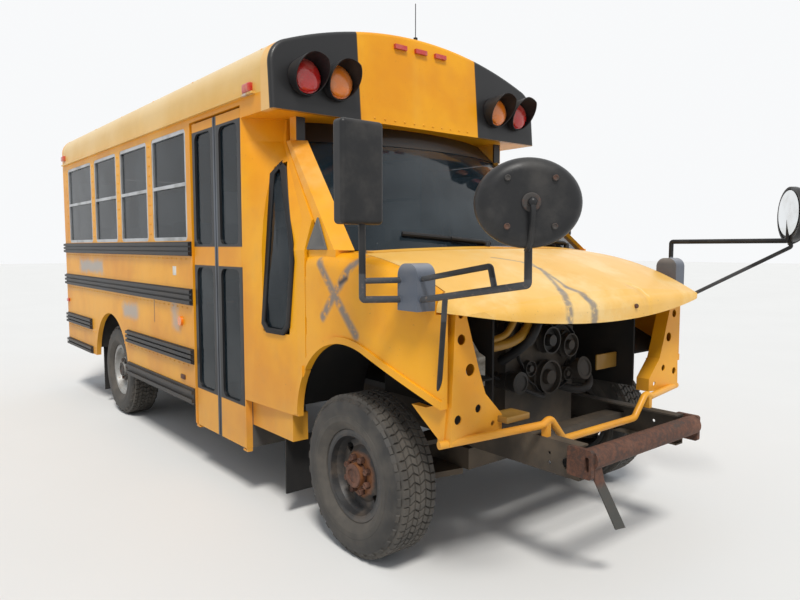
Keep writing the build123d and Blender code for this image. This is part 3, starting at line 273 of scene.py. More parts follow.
def aged_yellow(name, base=yellow, worn=deep_yellow, dusty=1.0):
    """A yellow paint and its colour so far, so that a panel can add its own marks to it."""
    paint = Finish(name)
    clouds = paint.noise(1.7, 4)
    colour = paint.mix(paint.smooth(clouds, 0.35, 0.68), base, worn)
    streaks = paint.noise(5, 4, stretch=(1, 1, 0.12))
    colour = paint.mix(paint.smooth(streaks, 0.55, 0.8) * 0.18, colour, pale_yellow)
    specks = paint.noise(95, 2)
    grime = paint.smooth(paint.noise(9, 5), 0.46, 0.75)
    low = paint.smooth(paint.z, 1.15, 0.35)
    dust = (low * 0.24 + grime * 0.08) * dusty
    colour = paint.mix(dust.lowest(0.8), colour, road_dust)
    colour = paint.mix(paint.smooth(specks, 0.70, 0.78) * 0.45, colour, (0.12, 0.07, 0.03))
    paint.set("Roughness", 0.38 + clouds * 0.16 + dust * 0.3)
    paint.set("Coat Weight", 0.14 - dust * 0.14)
    paint.set("Specular IOR Level", 0.35)
    paint.set("Coat Roughness", 0.18)
    waves = paint.noise(2.6, 2)
    paint.bump(waves * 0.8 + specks * 0.02, 0.25, 0.006)
    return paint, colour


plain_paint, plain_colour = aged_yellow("yellow_paint")
plain_yellow = plain_paint.done(plain_colour)
print("material", plain_yellow.name)

# %% [markdown]
# Grey primer was sprayed over parts of the entrance side from a can, so each patch has a ragged,
# misty edge. A noise pushes the coordinate about before the patch is cut out of it, and that turns
# a plain rectangle into a sprayed one.

# %% Side panels with sprayed-over patches


def sprayed(paint, colour, y_low, y_high, z_low, z_high, strength):
    """The colour with a misty grey patch over it, between two lengths and two heights."""
    drift = (paint.noise(6, 4) - 0.5) * 0.16
    fine = (paint.noise(40, 3) - 0.5) * 0.05
    y = paint.y + drift + fine
    z = paint.z + drift * 0.5 + fine
    patch = paint.band(y, y_low, y_high, 0.06) * paint.band(z, z_low, z_high, 0.035)
    return paint.mix(patch * strength, colour, spray_grey)


side_paint, colour = aged_yellow("side_yellow")
right_side = side_paint.x < 0
patches = [(3.70, 4.47, 1.23, 1.34, 0.9), (2.79, 3.18, 0.90, 1.01, 0.85), (1.95, 2.06, 0.90, 1.08, 0.7)]
for y_low, y_high, z_low, z_high, strength in patches:
    colour = sprayed(side_paint, colour, y_low, y_high, z_low, z_high, right_side * strength)
drip = side_paint.stroke((0, aft(2.42), 1.07), (0, aft(2.425), 0.92), 0.010, 0.010, (0, 1, 1)) * right_side
colour = side_paint.mix(drip * 0.75, colour, rust_brown)
side_yellow = side_paint.done(colour)
print("material", side_yellow.name, "patches", len(patches))

# %% [markdown]
# The entrance leaves are yellow sheet below and across the middle, and black rubber and black
# frame everywhere round the glass. The two leaves close on a thick black seal.

# %% Entrance door leaves
door_paint, colour = aged_yellow("door_yellow")
glass_zone = door_paint.band(door_paint.z, 0.545, 1.350, 0.003)
glass_zone = glass_zone.highest(door_paint.band(door_paint.z, 1.465, 2.185, 0.003))
centre_seal = door_paint.band(door_paint.y, 1.296, 1.348, 0.002)
black_frame = glass_zone.highest(centre_seal)
colour = door_paint.mix(black_frame, colour, (0.014, 0.014, 0.015))
worn_lip = centre_seal * door_paint.smooth(door_paint.noise(7, 4, stretch=(1, 1, 0.15)), 0.38, 0.62)
colour = door_paint.mix(worn_lip * 0.8, colour, (0.10, 0.115, 0.14))
door_yellow = door_paint.done(colour)
print("material", door_yellow.name)

# %% [markdown]
# The front fender carries a large X of the same grey primer with a dark gash where it crosses.
# The rolled lip round the wheel arch has lost its gloss to stone chips.

# %% Fender with the sprayed X
fender_paint, colour = aged_yellow("fender_yellow", dusty=0.8)
right_side = fender_paint.x < 0
fuzz = fender_paint.noise(28, 4)
cross = fender_paint.stroke((0, aft(0.21), 1.391), (0, aft(-0.085), 1.067), 0.022, 0.014, (0, 1, 1))
other = fender_paint.stroke((0, aft(-0.064), 1.396), (0, aft(0.178), 1.131), 0.022, 0.014, (0, 1, 1))
x_mark = cross.highest(other) * fender_paint.smooth(fuzz, 0.25, 0.5) * right_side
colour = fender_paint.mix(x_mark * 0.9, colour, (0.17, 0.16, 0.15))
gash = fender_paint.stroke((0, aft(-0.02), 1.322), (0, aft(0.03), 1.30), 0.010, 0.010, (0, 1, 1)) * right_side
colour = fender_paint.mix(gash * 0.9, colour, (0.03, 0.02, 0.02))
fender_yellow = fender_paint.done(colour)
print("material", fender_yellow.name)

# %% [markdown]
# The hood faces the sky, so its paint has bleached to a sandy yellow. Grey spray lines run down
# it, the middle has a shallow dent, and rust creeps in from the front lip.

# %% Bleached hood
hood_base, hood_worn = (0.82, 0.49, 0.13), (0.76, 0.42, 0.07)
hood_paint, colour = aged_yellow("hood_yellow", base=hood_base, worn=hood_worn, dusty=0.4)
bleach = hood_paint.smooth(hood_paint.noise(3.2, 5, rough=0.65), 0.42, 0.7)
colour = hood_paint.mix(bleach * 0.55, colour, (0.84, 0.66, 0.34))
spray_lines = [
    (-0.353, -0.308, -0.236, -0.395, 0.006), (-0.236, -0.395, -0.210, -0.485, 0.008),
    (-0.210, -0.485, -0.249, -0.671, 0.010), (-0.249, -0.671, -0.194, -0.745, 0.015),
    (-0.194, -0.745, -0.175, -0.780, 0.021), (-0.185, -0.385, -0.238, -0.543, 0.007),
    (-0.238, -0.543, -0.314, -0.687, 0.011), (-0.314, -0.687, -0.360, -0.780, 0.020),
]
for x0, y0, x1, y1, wide in spray_lines:
    line = hood_paint.stroke((x0, aft(y0), 0), (x1, aft(y1), 0), wide, 0.011, (1, 1, 0))
    broken = hood_paint.smooth(hood_paint.noise(30, 3), 0.25, 0.5)
    colour = hood_paint.mix(line * broken * 0.85, colour, (0.21, 0.19, 0.17))
dent = hood_paint.stroke((0.235, aft(-0.695), 0), (0.275, aft(-0.745), 0), 0.012, 0.040, (1, 1, 0))
# A thin pale line along the dent's crease is a painted highlight.
painted_crease_highlight = hood_paint.stroke((0.262, aft(-0.690), 0), (0.305, aft(-0.750), 0), 0.002, 0.010, (1, 1, 0))
colour = hood_paint.mix(painted_crease_highlight * 0.5, colour, (0.93, 0.84, 0.60))
chips = hood_paint.smooth(hood_paint.noise(60, 4), 0.66, 0.72) * hood_paint.smooth(hood_paint.z, 1.24, 1.12)
colour = hood_paint.mix(chips * 0.8, colour, rust_brown)
hood_paint.bump(hood_paint.noise(2.4, 2) * 1.2 - dent * 2.2, 0.45, 0.014)
hood_yellow = hood_paint.done(colour)
print("material", hood_yellow.name)

# %% [markdown]
# The front cap is yellow in the middle, where the blank sign board sits, and black round the
# lamps, so that the lamps stand out in daylight. The roof has gone chalky and cream.

# %% Cap and roof paint
cap_paint, colour = aged_yellow("cap_yellow", dusty=0.4)
outside = cap_paint.smooth(abs(cap_paint.x), 0.468, 0.476)
lean_back = (cap_paint.z - 2.178) * 0.0823
front_face = cap_paint.smooth(cap_paint.y - lean_back, 0.622, 0.616)
front_face = front_face * cap_paint.smooth(cap_paint.z, 2.176, 2.180)
under_cap = cap_paint.smooth(cap_paint.z, 2.1775, 2.1765)
black_board = (outside * front_face).highest(under_cap)
colour = cap_paint.mix(black_board, colour, (0.012, 0.012, 0.013))
flank = cap_paint.smooth(abs(cap_paint.x), 0.985, 1.03) * (1 - front_face)
colour = cap_paint.mix(flank * 0.6, colour, (0.80, 0.58, 0.26))
cap_yellow = cap_paint.done(colour)

roof_base, roof_worn = (0.78, 0.50, 0.16), (0.72, 0.42, 0.09)
roof_paint, colour = aged_yellow("roof_yellow", base=roof_base, worn=roof_worn, dusty=0.3)
chalk = roof_paint.smooth(roof_paint.z, 2.30, 2.66)
colour = roof_paint.mix(chalk * 0.75, colour, (0.74, 0.63, 0.42))
right_side = roof_paint.x < 0
scrape = roof_paint.stroke((0, aft(0.860), 2.275), (0, aft(0.790), 2.205), 0.030, 0.030, (0, 1, 1))
scrape = scrape * right_side * roof_paint.smooth(roof_paint.noise(26, 4), 0.30, 0.50)
bare = roof_paint.smooth(roof_paint.noise(45, 3), 0.45, 0.55)
scraped = roof_paint.mix(bare, (0.24, 0.15, 0.11), (0.50, 0.46, 0.46))
colour = roof_paint.mix(scrape * 0.9, colour, scraped)
drip = roof_paint.stroke((0, aft(0.800), 2.290), (0, aft(0.762), 2.19), 0.006, 0.010, (0, 1, 1)) * right_side
colour = roof_paint.mix(drip * 0.6, colour, rust_brown)
roof_yellow = roof_paint.done(colour)
print("materials", cap_yellow.name, roof_yellow.name)

# %% [markdown]
# Black parts differ mostly in how dusty they are. One function makes them all: a dark base, dust
# that gathers where a noise says so and low on the bus, and a fine bump.

# %% Black and grey finishes


def dusty_dark(name, base, dust, amount, rough, grain=60, bumpy=0.15):
    """A dark coat with dust on it. The grain is finer when its number is larger."""
    coat = Finish(name)
    settled = coat.smooth(coat.noise(4, 5), 0.38, 0.72)
    low = coat.smooth(coat.z, 1.0, 0.2)
    share = (settled * 0.6 + low * 0.4) * amount
    colour = coat.mix(share, base, dust)
    coat.set("Roughness", rough + share * 0.25)
    coat.set("Specular IOR Level", 0.3)
    coat.bump(coat.noise(grain, 3), bumpy, 0.001)
    return coat.done(colour)


black_rubber = dusty_dark("black_rubber", (0.010, 0.010, 0.011), (0.06, 0.055, 0.05), 0.4, 0.55)
rail_black = dusty_dark("rail_black", (0.014, 0.014, 0.016), (0.11, 0.09, 0.07), 0.45, 0.42, grain=120)
chassis_black = dusty_dark("chassis_black", (0.030, 0.028, 0.026), (0.17, 0.13, 0.09), 0.75, 0.65,
                           grain=80, bumpy=0.3)
mirror_black = dusty_dark("mirror_black", (0.012, 0.012, 0.013), (0.08, 0.075, 0.07), 0.35, 0.38, grain=200)
# The engine bay's black is darker still, as painted shade for the shadow inside the open bay.
bay_black_painted_shade = dusty_dark("bay_black_painted_shade", (0.009, 0.009, 0.009), (0.04, 0.033, 0.026), 0.5, 0.8)
floor_rubber = dusty_dark("floor_rubber", (0.045, 0.045, 0.047), (0.17, 0.15, 0.12), 0.7, 0.7, grain=150)
dash_grey = dusty_dark("dash_grey", (0.10, 0.10, 0.10), (0.24, 0.22, 0.19), 0.5, 0.6, grain=300)
tank_black = dusty_dark("tank_black", (0.022, 0.022, 0.022), (0.15, 0.12, 0.09), 0.8, 0.5)
print("dark finishes 8")

# %% [markdown]
# Rust is never one colour. Three noises at different sizes choose between bright orange bloom,
# brown scale and nearly black old steel, and the same noises make its surface rough to light.

# %% Rusty steel


def rusty(name, cover, steel=(0.05, 0.045, 0.042), strap=0.0):
    """Rust over steel. Below the height strap it is bare grey steel, as on a hanging bracket."""
    iron = Finish(name, 0.8, 0.0)
    wide = iron.noise(7, 5, rough=0.65)
    fine = iron.noise(55, 4, rough=0.7)
    scale = iron.mix(iron.smooth(fine, 0.35, 0.68), (0.055, 0.026, 0.018), (0.125, 0.052, 0.030))
    bloom = iron.mix(iron.smooth(wide, 0.5, 0.75), scale, (0.17, 0.078, 0.048))
    colour = iron.mix(iron.smooth(wide * 0.7 + fine * 0.3, cover - 0.09, cover + 0.09), steel, bloom)
    if strap:
        hanging = iron.smooth(iron.z, strap + 0.02, strap - 0.02)
        bare = iron.mix(wide, (0.040, 0.046, 0.042), (0.075, 0.078, 0.070))
        colour = iron.mix(hanging * 0.85, colour, bare)
    iron.set("Roughness", 0.65 + fine * 0.3)
    iron.bump(fine + wide * 0.5, 0.6, 0.0015)
    return iron.done(colour)


rusty_steel = rusty("rusty_steel", 0.30)
rusty_dark = rusty("rusty_dark", 0.56)
rusty_bar = rusty("rusty_bar", 0.40, (0.040, 0.032, 0.027), strap=0.475)
print("materials", rusty_steel.name, rusty_dark.name, rusty_bar.name)

# %% [markdown]
# The front wheels are dark, with rust round the hub and grey metal at the rim, and the rear ones
# are dull silver. Window frames are brushed aluminium under a grey film. The glass is a near-black,
# mostly opaque tint, partly painted shade for the dim inside of the bus, and it turns milky where
# dust lies on it. A mirror face is plain metal.

# %% Wheels, aluminium, glass and mirror faces
wheel_paint = Finish("wheel_dark", 0.5)
centre_z = (tyre_low.z + tyre_high.z) / 2
out_from_hub = (wheel_paint.y * wheel_paint.y + (wheel_paint.z - centre_z) ** 2.0) ** 0.5
hub_rust = wheel_paint.smooth(out_from_hub + (wheel_paint.noise(25, 4) - 0.5) * 0.03, 0.118, 0.100)
flange = wheel_paint.smooth(out_from_hub, 0.196, 0.206)
dirt = wheel_paint.smooth(wheel_paint.noise(12, 5), 0.4, 0.7)
colour = wheel_paint.mix(dirt * 0.6, (0.020, 0.020, 0.021), (0.13, 0.10, 0.075))
colour = wheel_paint.mix(flange * 0.35, colour, (0.10, 0.095, 0.09))
rust_mix = wheel_paint.mix(wheel_paint.noise(40, 3), (0.11, 0.038, 0.015), (0.27, 0.11, 0.04))
colour = wheel_paint.mix(hub_rust, colour, rust_mix)
wheel_paint.bump(wheel_paint.noise(70, 3), 0.3, 0.001)
wheel_dark = wheel_paint.done(colour)

silver_paint = Finish("wheel_silver", 0.42, 0.25)
dirt = silver_paint.smooth(silver_paint.noise(10, 5), 0.42, 0.7)
low = silver_paint.smooth(silver_paint.noise(35, 3), 0.6, 0.7)
colour = silver_paint.mix(dirt * 0.45, (0.36, 0.36, 0.35), (0.20, 0.16, 0.12))
colour = silver_paint.mix(low * 0.5, colour, (0.15, 0.07, 0.03))
silver_paint.set("Roughness", 0.4 + dirt * 0.3)
wheel_silver = silver_paint.done(colour)

bright = Finish("aluminium", 0.34, 0.85)
brushed = bright.noise(30, 3, stretch=(1, 1, 9))
dull = bright.smooth(bright.noise(5, 4), 0.4, 0.7)
bright.set("Roughness", 0.28 + brushed * 0.15 + dull * 0.15)
aluminium = bright.done(bright.mix(dull * 0.6, (0.50, 0.51, 0.52), (0.27, 0.27, 0.26)))

# The near-black, mostly opaque pane is partly tint and partly painted shade for the dim inside of the bus.
pane = Finish("glass", 0.04)
film = pane.smooth(pane.noise(2.2, 5), 0.35, 0.75)
pane.set("Alpha", 0.68 + film * 0.14)
pane.set("Roughness", 0.03 + film * 0.10)
pane.set("Specular IOR Level", 0.25)
glass = pane.done(pane.mix(film * 0.35, (0.006, 0.013, 0.019), (0.055, 0.070, 0.080)))

silvered = Finish("mirror_face", 0.06, 1.0)
film = silvered.smooth(silvered.noise(9, 4), 0.45, 0.75)
silvered.set("Roughness", 0.05 + film * 0.2)
mirror_face = silvered.done(silvered.mix(film * 0.4, (0.82, 0.84, 0.85), (0.55, 0.53, 0.50)))
print("materials", wheel_dark.name, wheel_silver.name, aluminium.name, glass.name, mirror_face.name)

# %% [markdown]
# Lamp lenses are red or amber by where they sit, and the clear plastic glows a little from inside
# even when the lamp is off, so a touch of coat and a bright base do for it. The stop arm is a
# blank red octagon with a white border.

# %% Lamp lenses and the stop arm
lens = Finish("lamp_lens", 0.22)
amber_pair = lens.band(abs(lens.x), 0.535, 0.735, 0.004) * lens.smooth(lens.z, 2.2, 2.25)
amber_pair = amber_pair * lens.smooth(lens.z, 2.60, 2.55)
amber_side = lens.smooth(abs(lens.x), 1.035, 1.038) * lens.smooth(lens.y, 2.5, 2.4)
amber = amber_pair.highest(amber_side)
colour = lens.mix(amber, (0.50, 0.012, 0.010), (0.80, 0.20, 0.010))
clear = lens.band(lens.z, 1.0, 1.095, 0.002) * lens.smooth(lens.y, 4.9, 5.0)
clear = clear * lens.smooth(abs(lens.x), 0.83, 0.85) * lens.smooth(abs(lens.x), 0.96, 0.95)
colour = lens.mix(clear, colour, (0.75, 0.75, 0.72))
film = lens.smooth(lens.noise(12, 4), 0.4, 0.75)
colour = lens.mix(film * 0.3, colour, (0.40, 0.33, 0.26))
lens.set("Roughness", 0.18 + film * 0.3)
lens.set("Coat Weight", 0.6)
prisms = lens.node("ShaderNodeTexVoronoi", {}, {"Vector": lens.place, "Scale": 90.0})
lens.bump(prisms, 0.35, 0.002)
lamp_lens = lens.done(colour)

stop = Finish("stop_red", 0.4)
up = abs(stop.z - 1.29)
back = abs(stop.y - 1.90)
corner = (up + back) * 0.7071
to_edge = up.highest(back).highest(corner)
border = stop.smooth(to_edge, 0.188, 0.190) * stop.smooth(to_edge, 0.206, 0.204)
fade = stop.smooth(stop.noise(7, 5), 0.4, 0.75)
colour = stop.mix(fade * 0.45, (0.42, 0.020, 0.016), (0.52, 0.12, 0.08))
colour = stop.mix(border, colour, (0.78, 0.77, 0.74))
stop.set("Roughness", 0.35 + fade * 0.3)
stop_red = stop.done(colour)
print("materials", lamp_lens.name, stop_red.name)

# %% [markdown]
# Two yellow pieces have black parts of their own. The windscreen frame is black where it meets
# the cap, and the cowl under the wipers is grey plastic with dark air slots.

# %% Windscreen frame and cowl
frame_paint, colour = aged_yellow("frame_yellow")
header = frame_paint.smooth(frame_paint.z, 2.048, 2.052) * frame_paint.smooth(frame_paint.y, 0.735, 0.725)
header = header * frame_paint.smooth(abs(frame_paint.x), 0.824, 0.820)
patchy = frame_paint.smooth(frame_paint.noise(5, 4), 0.3, 0.7)
upper_pillar = frame_paint.smooth(frame_paint.z, 1.55, 1.95) * patchy
colour = frame_paint.mix(upper_pillar * 0.4, colour, (0.82, 0.62, 0.30))
colour = frame_paint.mix(header, colour, (0.014, 0.014, 0.015))
frame_yellow = frame_paint.done(colour)

cowl_paint, colour = aged_yellow("cowl_yellow", base=(0.84, 0.48, 0.08), dusty=0.6)
right_strip = cowl_paint.stroke((-0.80, aft(0.085), 0), (0, aft(-0.085), 0), 0.048, 0.010, (1, 1, 0))
left_strip = cowl_paint.stroke((0, aft(-0.085), 0), (0.80, aft(0.085), 0), 0.048, 0.010, (1, 1, 0))
strip = right_strip.highest(left_strip)
slots = cowl_paint.band(cowl_paint.x, -0.60, -0.34, 0.01)
slots = slots.highest(cowl_paint.band(cowl_paint.x, 0.30, 0.56, 0.01))
colour = cowl_paint.mix(strip, colour, cowl_paint.mix(slots, (0.19, 0.19, 0.20), (0.022, 0.022, 0.024)))
cowl_yellow = cowl_paint.done(colour)
print("materials", frame_yellow.name, cowl_yellow.name)

# %% [markdown]
# The brackets of the outside mirrors are black bars with chipped paint and a grey-blue plastic
# cover at the foot. The two are one CAD node, so bands along its height, length and width tell
# the cover from the bars.

# %% Mirror arms
arm_paint = Finish("mirror_arm", 0.5)
chips = arm_paint.smooth(arm_paint.noise(48, 4, rough=0.7), 0.56, 0.66)
dust = arm_paint.smooth(arm_paint.noise(9, 5), 0.4, 0.75)
cover = arm_paint.band(arm_paint.z, 1.205, 1.405, 0.004) * arm_paint.band(arm_paint.y, -0.555, -0.420, 0.002)
cover = cover * arm_paint.band(abs(arm_paint.x), 0.932, 1.037, 0.002)
# The top of the cover is painted paler, as a painted highlight where it faces the sky.
painted_top_highlight = arm_paint.smooth(arm_paint.z, 1.36, 1.40)
plastic = arm_paint.mix(dust * 0.5, (0.105, 0.120, 0.150), (0.17, 0.17, 0.18))
plastic = arm_paint.mix(painted_top_highlight * 0.7, plastic, (0.30, 0.31, 0.34))
bar = arm_paint.stroke((0, aft(-0.30), 1.27), (0, aft(-1.30), 1.27), 0.09, 0.004, (0, 1, 1))
steel = arm_paint.mix(dust * 0.5, (0.014, 0.014, 0.015), (0.07, 0.065, 0.06))
steel = arm_paint.mix(bar * 0.55, steel, (0.085, 0.088, 0.095))
steel = arm_paint.mix(chips * bar * 0.6, steel, (0.20, 0.15, 0.12))
arm_paint.set("Roughness", 0.38 + dust * 0.25)
arm_paint.set("Specular IOR Level", 0.32)
arm_paint.bump(arm_paint.noise(90, 3) * 0.4 + chips * 0.6, 0.25, 0.0008)
mirror_arm = arm_paint.done(arm_paint.mix(cover, steel, plastic))
print("material", mirror_arm.name)

# %% [markdown]
# Each CAD node takes the finish of what it is made of. The table reads as a paint schedule: the
# finish first, then the pieces that wear it.

# %% Paint schedule
schedule = [
    (side_yellow, "body_side_left", "body_side_right", "cab_side_panel"),
    (door_yellow, "entrance_door_front", "entrance_door_rear"),
    (plain_yellow, "rear_wall", "rear_door", "driver_door"),
    (frame_yellow, "cab_frame"),
    (cowl_yellow, "cowl"),
    (fender_yellow, "fender_left", "fender_right"),
    (hood_yellow, "hood"),
    (cap_yellow, "front_cap"),
    (roof_yellow, "body_roof"),
    (plain_yellow, "radiator_support"),
    (bay_black_painted_shade, "engine_bay"),
    (rail_black, "rub_rails", "rear_bumper"),
    (black_rubber, "mud_flaps"),
    (chassis_black, "frame_rails", "front_suspension", "rear_axle", "drive_shaft", "engine_block"),
    (chassis_black, "steering_knuckle_left", "steering_knuckle_right", "bus_floor"),
    (rusty_bar, "front_crossmember"),
    (rusty_dark, "exhaust"),
    (tank_black, "fuel_tank"),
    (floor_rubber, "step_well", "cab_floor", "wheel_boxes"),
    (dash_grey, "dashboard"),
    (mirror_arm, "mirrors_left", "mirrors_right"),
    (mirror_black, "door_mirror", "steering_wheel", "antenna"),
    (aluminium, "window_frames"),
    (glass, "body_glass", "windscreen", "driver_door_glass", "rear_door_glass"),
    (glass, "entrance_glass_front", "entrance_glass_rear"),
    (lamp_lens, "lamps"),
    (stop_red, "stop_arm"),
    (wheel_dark, "wheel_front_left", "wheel_front_right"),
    (wheel_silver, "wheel_rear_left", "wheel_rear_right"),
    (black_rubber, "tyre_front_left", "tyre_front_right", "tyre_rear_left", "tyre_rear_right"),
    (dash_grey, "driver_seat", "bench_seats"),
]
for finish, *names in schedule:
    for name in names:
        for slot in nodes[name].material_slots:
            slot.material = finish
print("finishes laid on", sum(len(row) - 1 for row in schedule), "nodes")

# %% [markdown]
# The floor is one large pale sheet. It is part of the studio and not of the bus.

# %% Studio floor
bpy.ops.object.select_all(action="DESELECT")
bpy.ops.mesh.primitive_plane_add(size=120, location=(0, 0, -0.001))
floor = bpy.context.object
floor.name = "studio_floor"
ground = Finish("studio_floor", 0.9)
tone = ground.noise(0.6, 3)
floor.data.materials.append(ground.done(ground.mix(tone, (0.72, 0.72, 0.71), (0.76, 0.76, 0.75))))
print("floor laid")

# %% [markdown]
# Everything that Blender adds is modelled from a primitive with the edit-mode operators. A few
# helpers keep that short. They clear the selection, pick faces, edges or corners by a test on
# their place, step a face in and out, and add a modifier and apply it.

# %% Picking and shaping


def clear():
    """Leaves edit mode and selects nothing."""
    if bpy.context.mode != "OBJECT":
        bpy.ops.object.mode_set(mode="OBJECT")
    bpy.ops.object.select_all(action="DESELECT")


def only(piece):
    """Selects one piece and makes it the active one."""
    clear()
    piece.select_set(True)
    bpy.context.view_layer.objects.active = piece


def pick(piece, test, kind="FACE"):
    """Selects what passes the test and stays in edit mode. The test gets a middle and a normal."""
    only(piece)
    bpy.ops.object.mode_set(mode="EDIT")
    bpy.ops.mesh.select_mode(type=kind)
    bpy.ops.mesh.select_all(action="DESELECT")
    bpy.ops.object.mode_set(mode="OBJECT")
    mesh = piece.data
    if kind == "FACE":
        for face in mesh.polygons:
            face.select = bool(test(face.center, face.normal))
    elif kind == "VERT":
        for corner in mesh.vertices:
            corner.select = bool(test(corner.co, corner.normal))
    else:
        for edge in mesh.edges:
            a, b = (mesh.vertices[i].co for i in edge.vertices)
            edge.select = bool(test((a + b) / 2, (b - a).normalized()))
    bpy.ops.object.mode_set(mode="EDIT")


def steps(moves, way=(0, 0, 1)):
    """Insets the picked face and moves it along way, once for each move, then leaves edit mode."""
    for inset, rise in moves:
        bpy.ops.mesh.inset(thickness=inset)
        bpy.ops.transform.translate(value=[rise * share for share in way])
    bpy.ops.object.mode_set(mode="OBJECT")


def modify(piece, kind, **settings):
    """Adds one modifier, sets it up and applies it."""
    modifier = piece.modifiers.new(kind, kind)
    for key, value in settings.items():
        setattr(modifier, key, value)
    only(piece)
    bpy.ops.object.modifier_apply(modifier=modifier.name)


def box(size, at=(0, 0, 0)):
    """A plain box of a size round a spot, with its place in its mesh."""
    clear()
    bpy.ops.mesh.primitive_cube_add(size=1, location=at, scale=size)
    bpy.ops.object.transform_apply(location=True, rotation=True, scale=True)
    return bpy.context.object


def turned(sides, radius, depth, moves, at=(0, 0, 0)):
    """A short cylinder along +Z whose top face is stepped in and out, as on a lathe."""
    clear()
    bpy.ops.mesh.primitive_cylinder_add(vertices=sides, radius=radius, depth=depth, location=at)
    part = bpy.context.object
    pick(part, lambda c, n: n.z > 0.9)
    steps(moves)
    return part


print("shaping helpers ready")

# %% [markdown]
# A finished piece has its place in its mesh and rides on one body of the frame. What repeats is
# shaped once and set down at many places, and `surface` finds those places by shooting a line at
# the CAD surface.

# %% Placing and finishing


def join(pieces):
    """Makes one mesh of several objects, under the first one."""
    only(pieces[0])
    for piece in pieces[1:]:
        piece.select_set(True)
    bpy.ops.object.join()
    return bpy.context.object


def settle(piece, name, finish, body, angle):
    """Puts the place into the mesh, smooths what is round, and rides on a body."""
    only(piece)
    bpy.ops.object.transform_apply(location=True, rotation=True, scale=True)
    bpy.ops.object.shade_smooth_by_angle(angle=math.radians(angle))
    piece.name = name
    piece.data.name = name
    piece.data.materials.clear()
    piece.data.materials.append(finish)
    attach(piece, body)


def copies(model, places):
    """One mesh from a model set down at many places, each a matrix. The model itself goes."""
    made = []
    for place in places:
        twin = model.copy()
        twin.data = model.data.copy()
        twin.matrix_world = place
        scene.collection.objects.link(twin)
        made.append(twin)
    joined = join(made)
    bpy.data.objects.remove(model)
    return joined


def facing(point, normal, turn=0.0):
    """A place whose own +Z looks along the normal."""
    aim = Vector(normal).normalized().to_track_quat("Z", "Y").to_matrix().to_4x4()
    return Matrix.Translation(Vector(point)) @ aim @ Matrix.Rotation(turn, 4, "Z")


def surface(node, start, direction):
    """Where a straight line from start first meets a CAD node, and the way that spot faces."""
    hit, point, normal, index = nodes[node].ray_cast(Vector(start), Vector(direction))
    return (point, normal) if hit else (None, None)


print("placing helpers ready")

# %% [markdown]
# Off-road tyres have deep blocks that step sideways from row to row. The carcass starts as an
# open cylinder at the depth of the grooves and is cut by five lines into six rows. Its open ends
# are pulled down into shoulders and sidewalls, and the two beads are bridged so that it is closed.

# %% Tyre carcass
groove = 0.011
tread_radius = (tyre_high.z - tyre_low.z) / 2
base_radius = tread_radius - groove
half_tread = 0.092
blocks_round = 60
row_cuts = [-0.062, -0.030, 0.0, 0.030, 0.062]
side_steps = [(0.094, 0.3665), (0.110, 0.354), (0.1195, 0.334), (0.1215, 0.312), (0.1205, 0.290),
              (0.1225, 0.286), (0.1215, 0.262), (0.110, 0.240), (0.095, 0.2225), (0.0795, 0.2195),
              (0.0795, 0.2125)]


def on_rim(x, radius):
    """Whether a spot lies on the open rim of the carcass."""
    return lambda c: abs(c.x - x) < 0.0004 and abs(math.hypot(c.y, c.z) - radius) < 0.0012


clear()
bpy.ops.mesh.primitive_cylinder_add(vertices=blocks_round, radius=base_radius, depth=2 * half_tread,
                                    end_fill_type="NOTHING", rotation=(0, math.pi / 2, 0))
tyre_model = bpy.context.object
bpy.ops.object.transform_apply(rotation=True)
for cut in row_cuts:
    pick(tyre_model, lambda c, n: True)
    bpy.ops.mesh.bisect(plane_co=(cut, 0, 0), plane_no=(1, 0, 0))
for cut in row_cuts[1::2]:
    pick(tyre_model, lambda c, n: abs(c.x - cut) < 0.001, "VERT")
    bpy.ops.transform.rotate(value=math.radians(3.0), orient_axis="X", center_override=(0, 0, 0))
for end in (-1, 1):
    last_x, last_radius = half_tread, base_radius
    for across, radius in side_steps:
        here = on_rim(end * last_x, last_radius)
        pick(tyre_model, lambda c, n: here(c) and abs(n.x) < 0.5, "EDGE")
        grow = radius / last_radius
        move = (end * (across - last_x), 0, 0)
        bpy.ops.mesh.extrude_edges_move(TRANSFORM_OT_translate={"value": move})
        bpy.ops.transform.resize(value=(1, grow, grow), center_override=(0, 0, 0))
        last_x, last_radius = across, radius
left_bead, right_bead = on_rim(last_x, last_radius), on_rim(-last_x, last_radius)
pick(tyre_model, lambda c, n: left_bead(c) or right_bead(c), "EDGE")
bpy.ops.mesh.bridge_edge_loops()
bpy.ops.object.mode_set(mode="OBJECT")
print("carcass faces", len(tyre_model.data.polygons))

# %% [markdown]
# Each face of the tread is now inset by itself and pushed out, which leaves grooves between the
# blocks. Every other face of the shoulder gets a smaller lug of the same kind.

# %% Tread blocks
pick(tyre_model, lambda c, n: abs(c.x) < half_tread and math.hypot(c.y, c.z) > base_radius - 0.004)
bpy.ops.mesh.inset(thickness=0.0042, use_individual=True)
bpy.ops.transform.shrink_fatten(value=groove - 0.0006)


def shoulder_lug(c, n):
    """Whether a face is every other one round the shoulder, counted by its angle."""
    turn = math.atan2(c.z, c.y) / (2 * math.pi) * blocks_round
    on_shoulder = 0.094 < abs(c.x) < 0.112 and math.hypot(c.y, c.z) > 0.34
    return on_shoulder and math.floor(turn + 0.01) % 2 == 0


pick(tyre_model, shoulder_lug)
bpy.ops.mesh.inset(thickness=0.003, use_individual=True)
bpy.ops.transform.shrink_fatten(value=0.006)
only(tyre_model)
bpy.ops.object.mode_set(mode="EDIT")
bpy.ops.mesh.select_all(action="SELECT")
bpy.ops.mesh.normals_make_consistent(inside=False)
bpy.ops.object.mode_set(mode="OBJECT")
print("tyre faces", len(tyre_model.data.polygons))

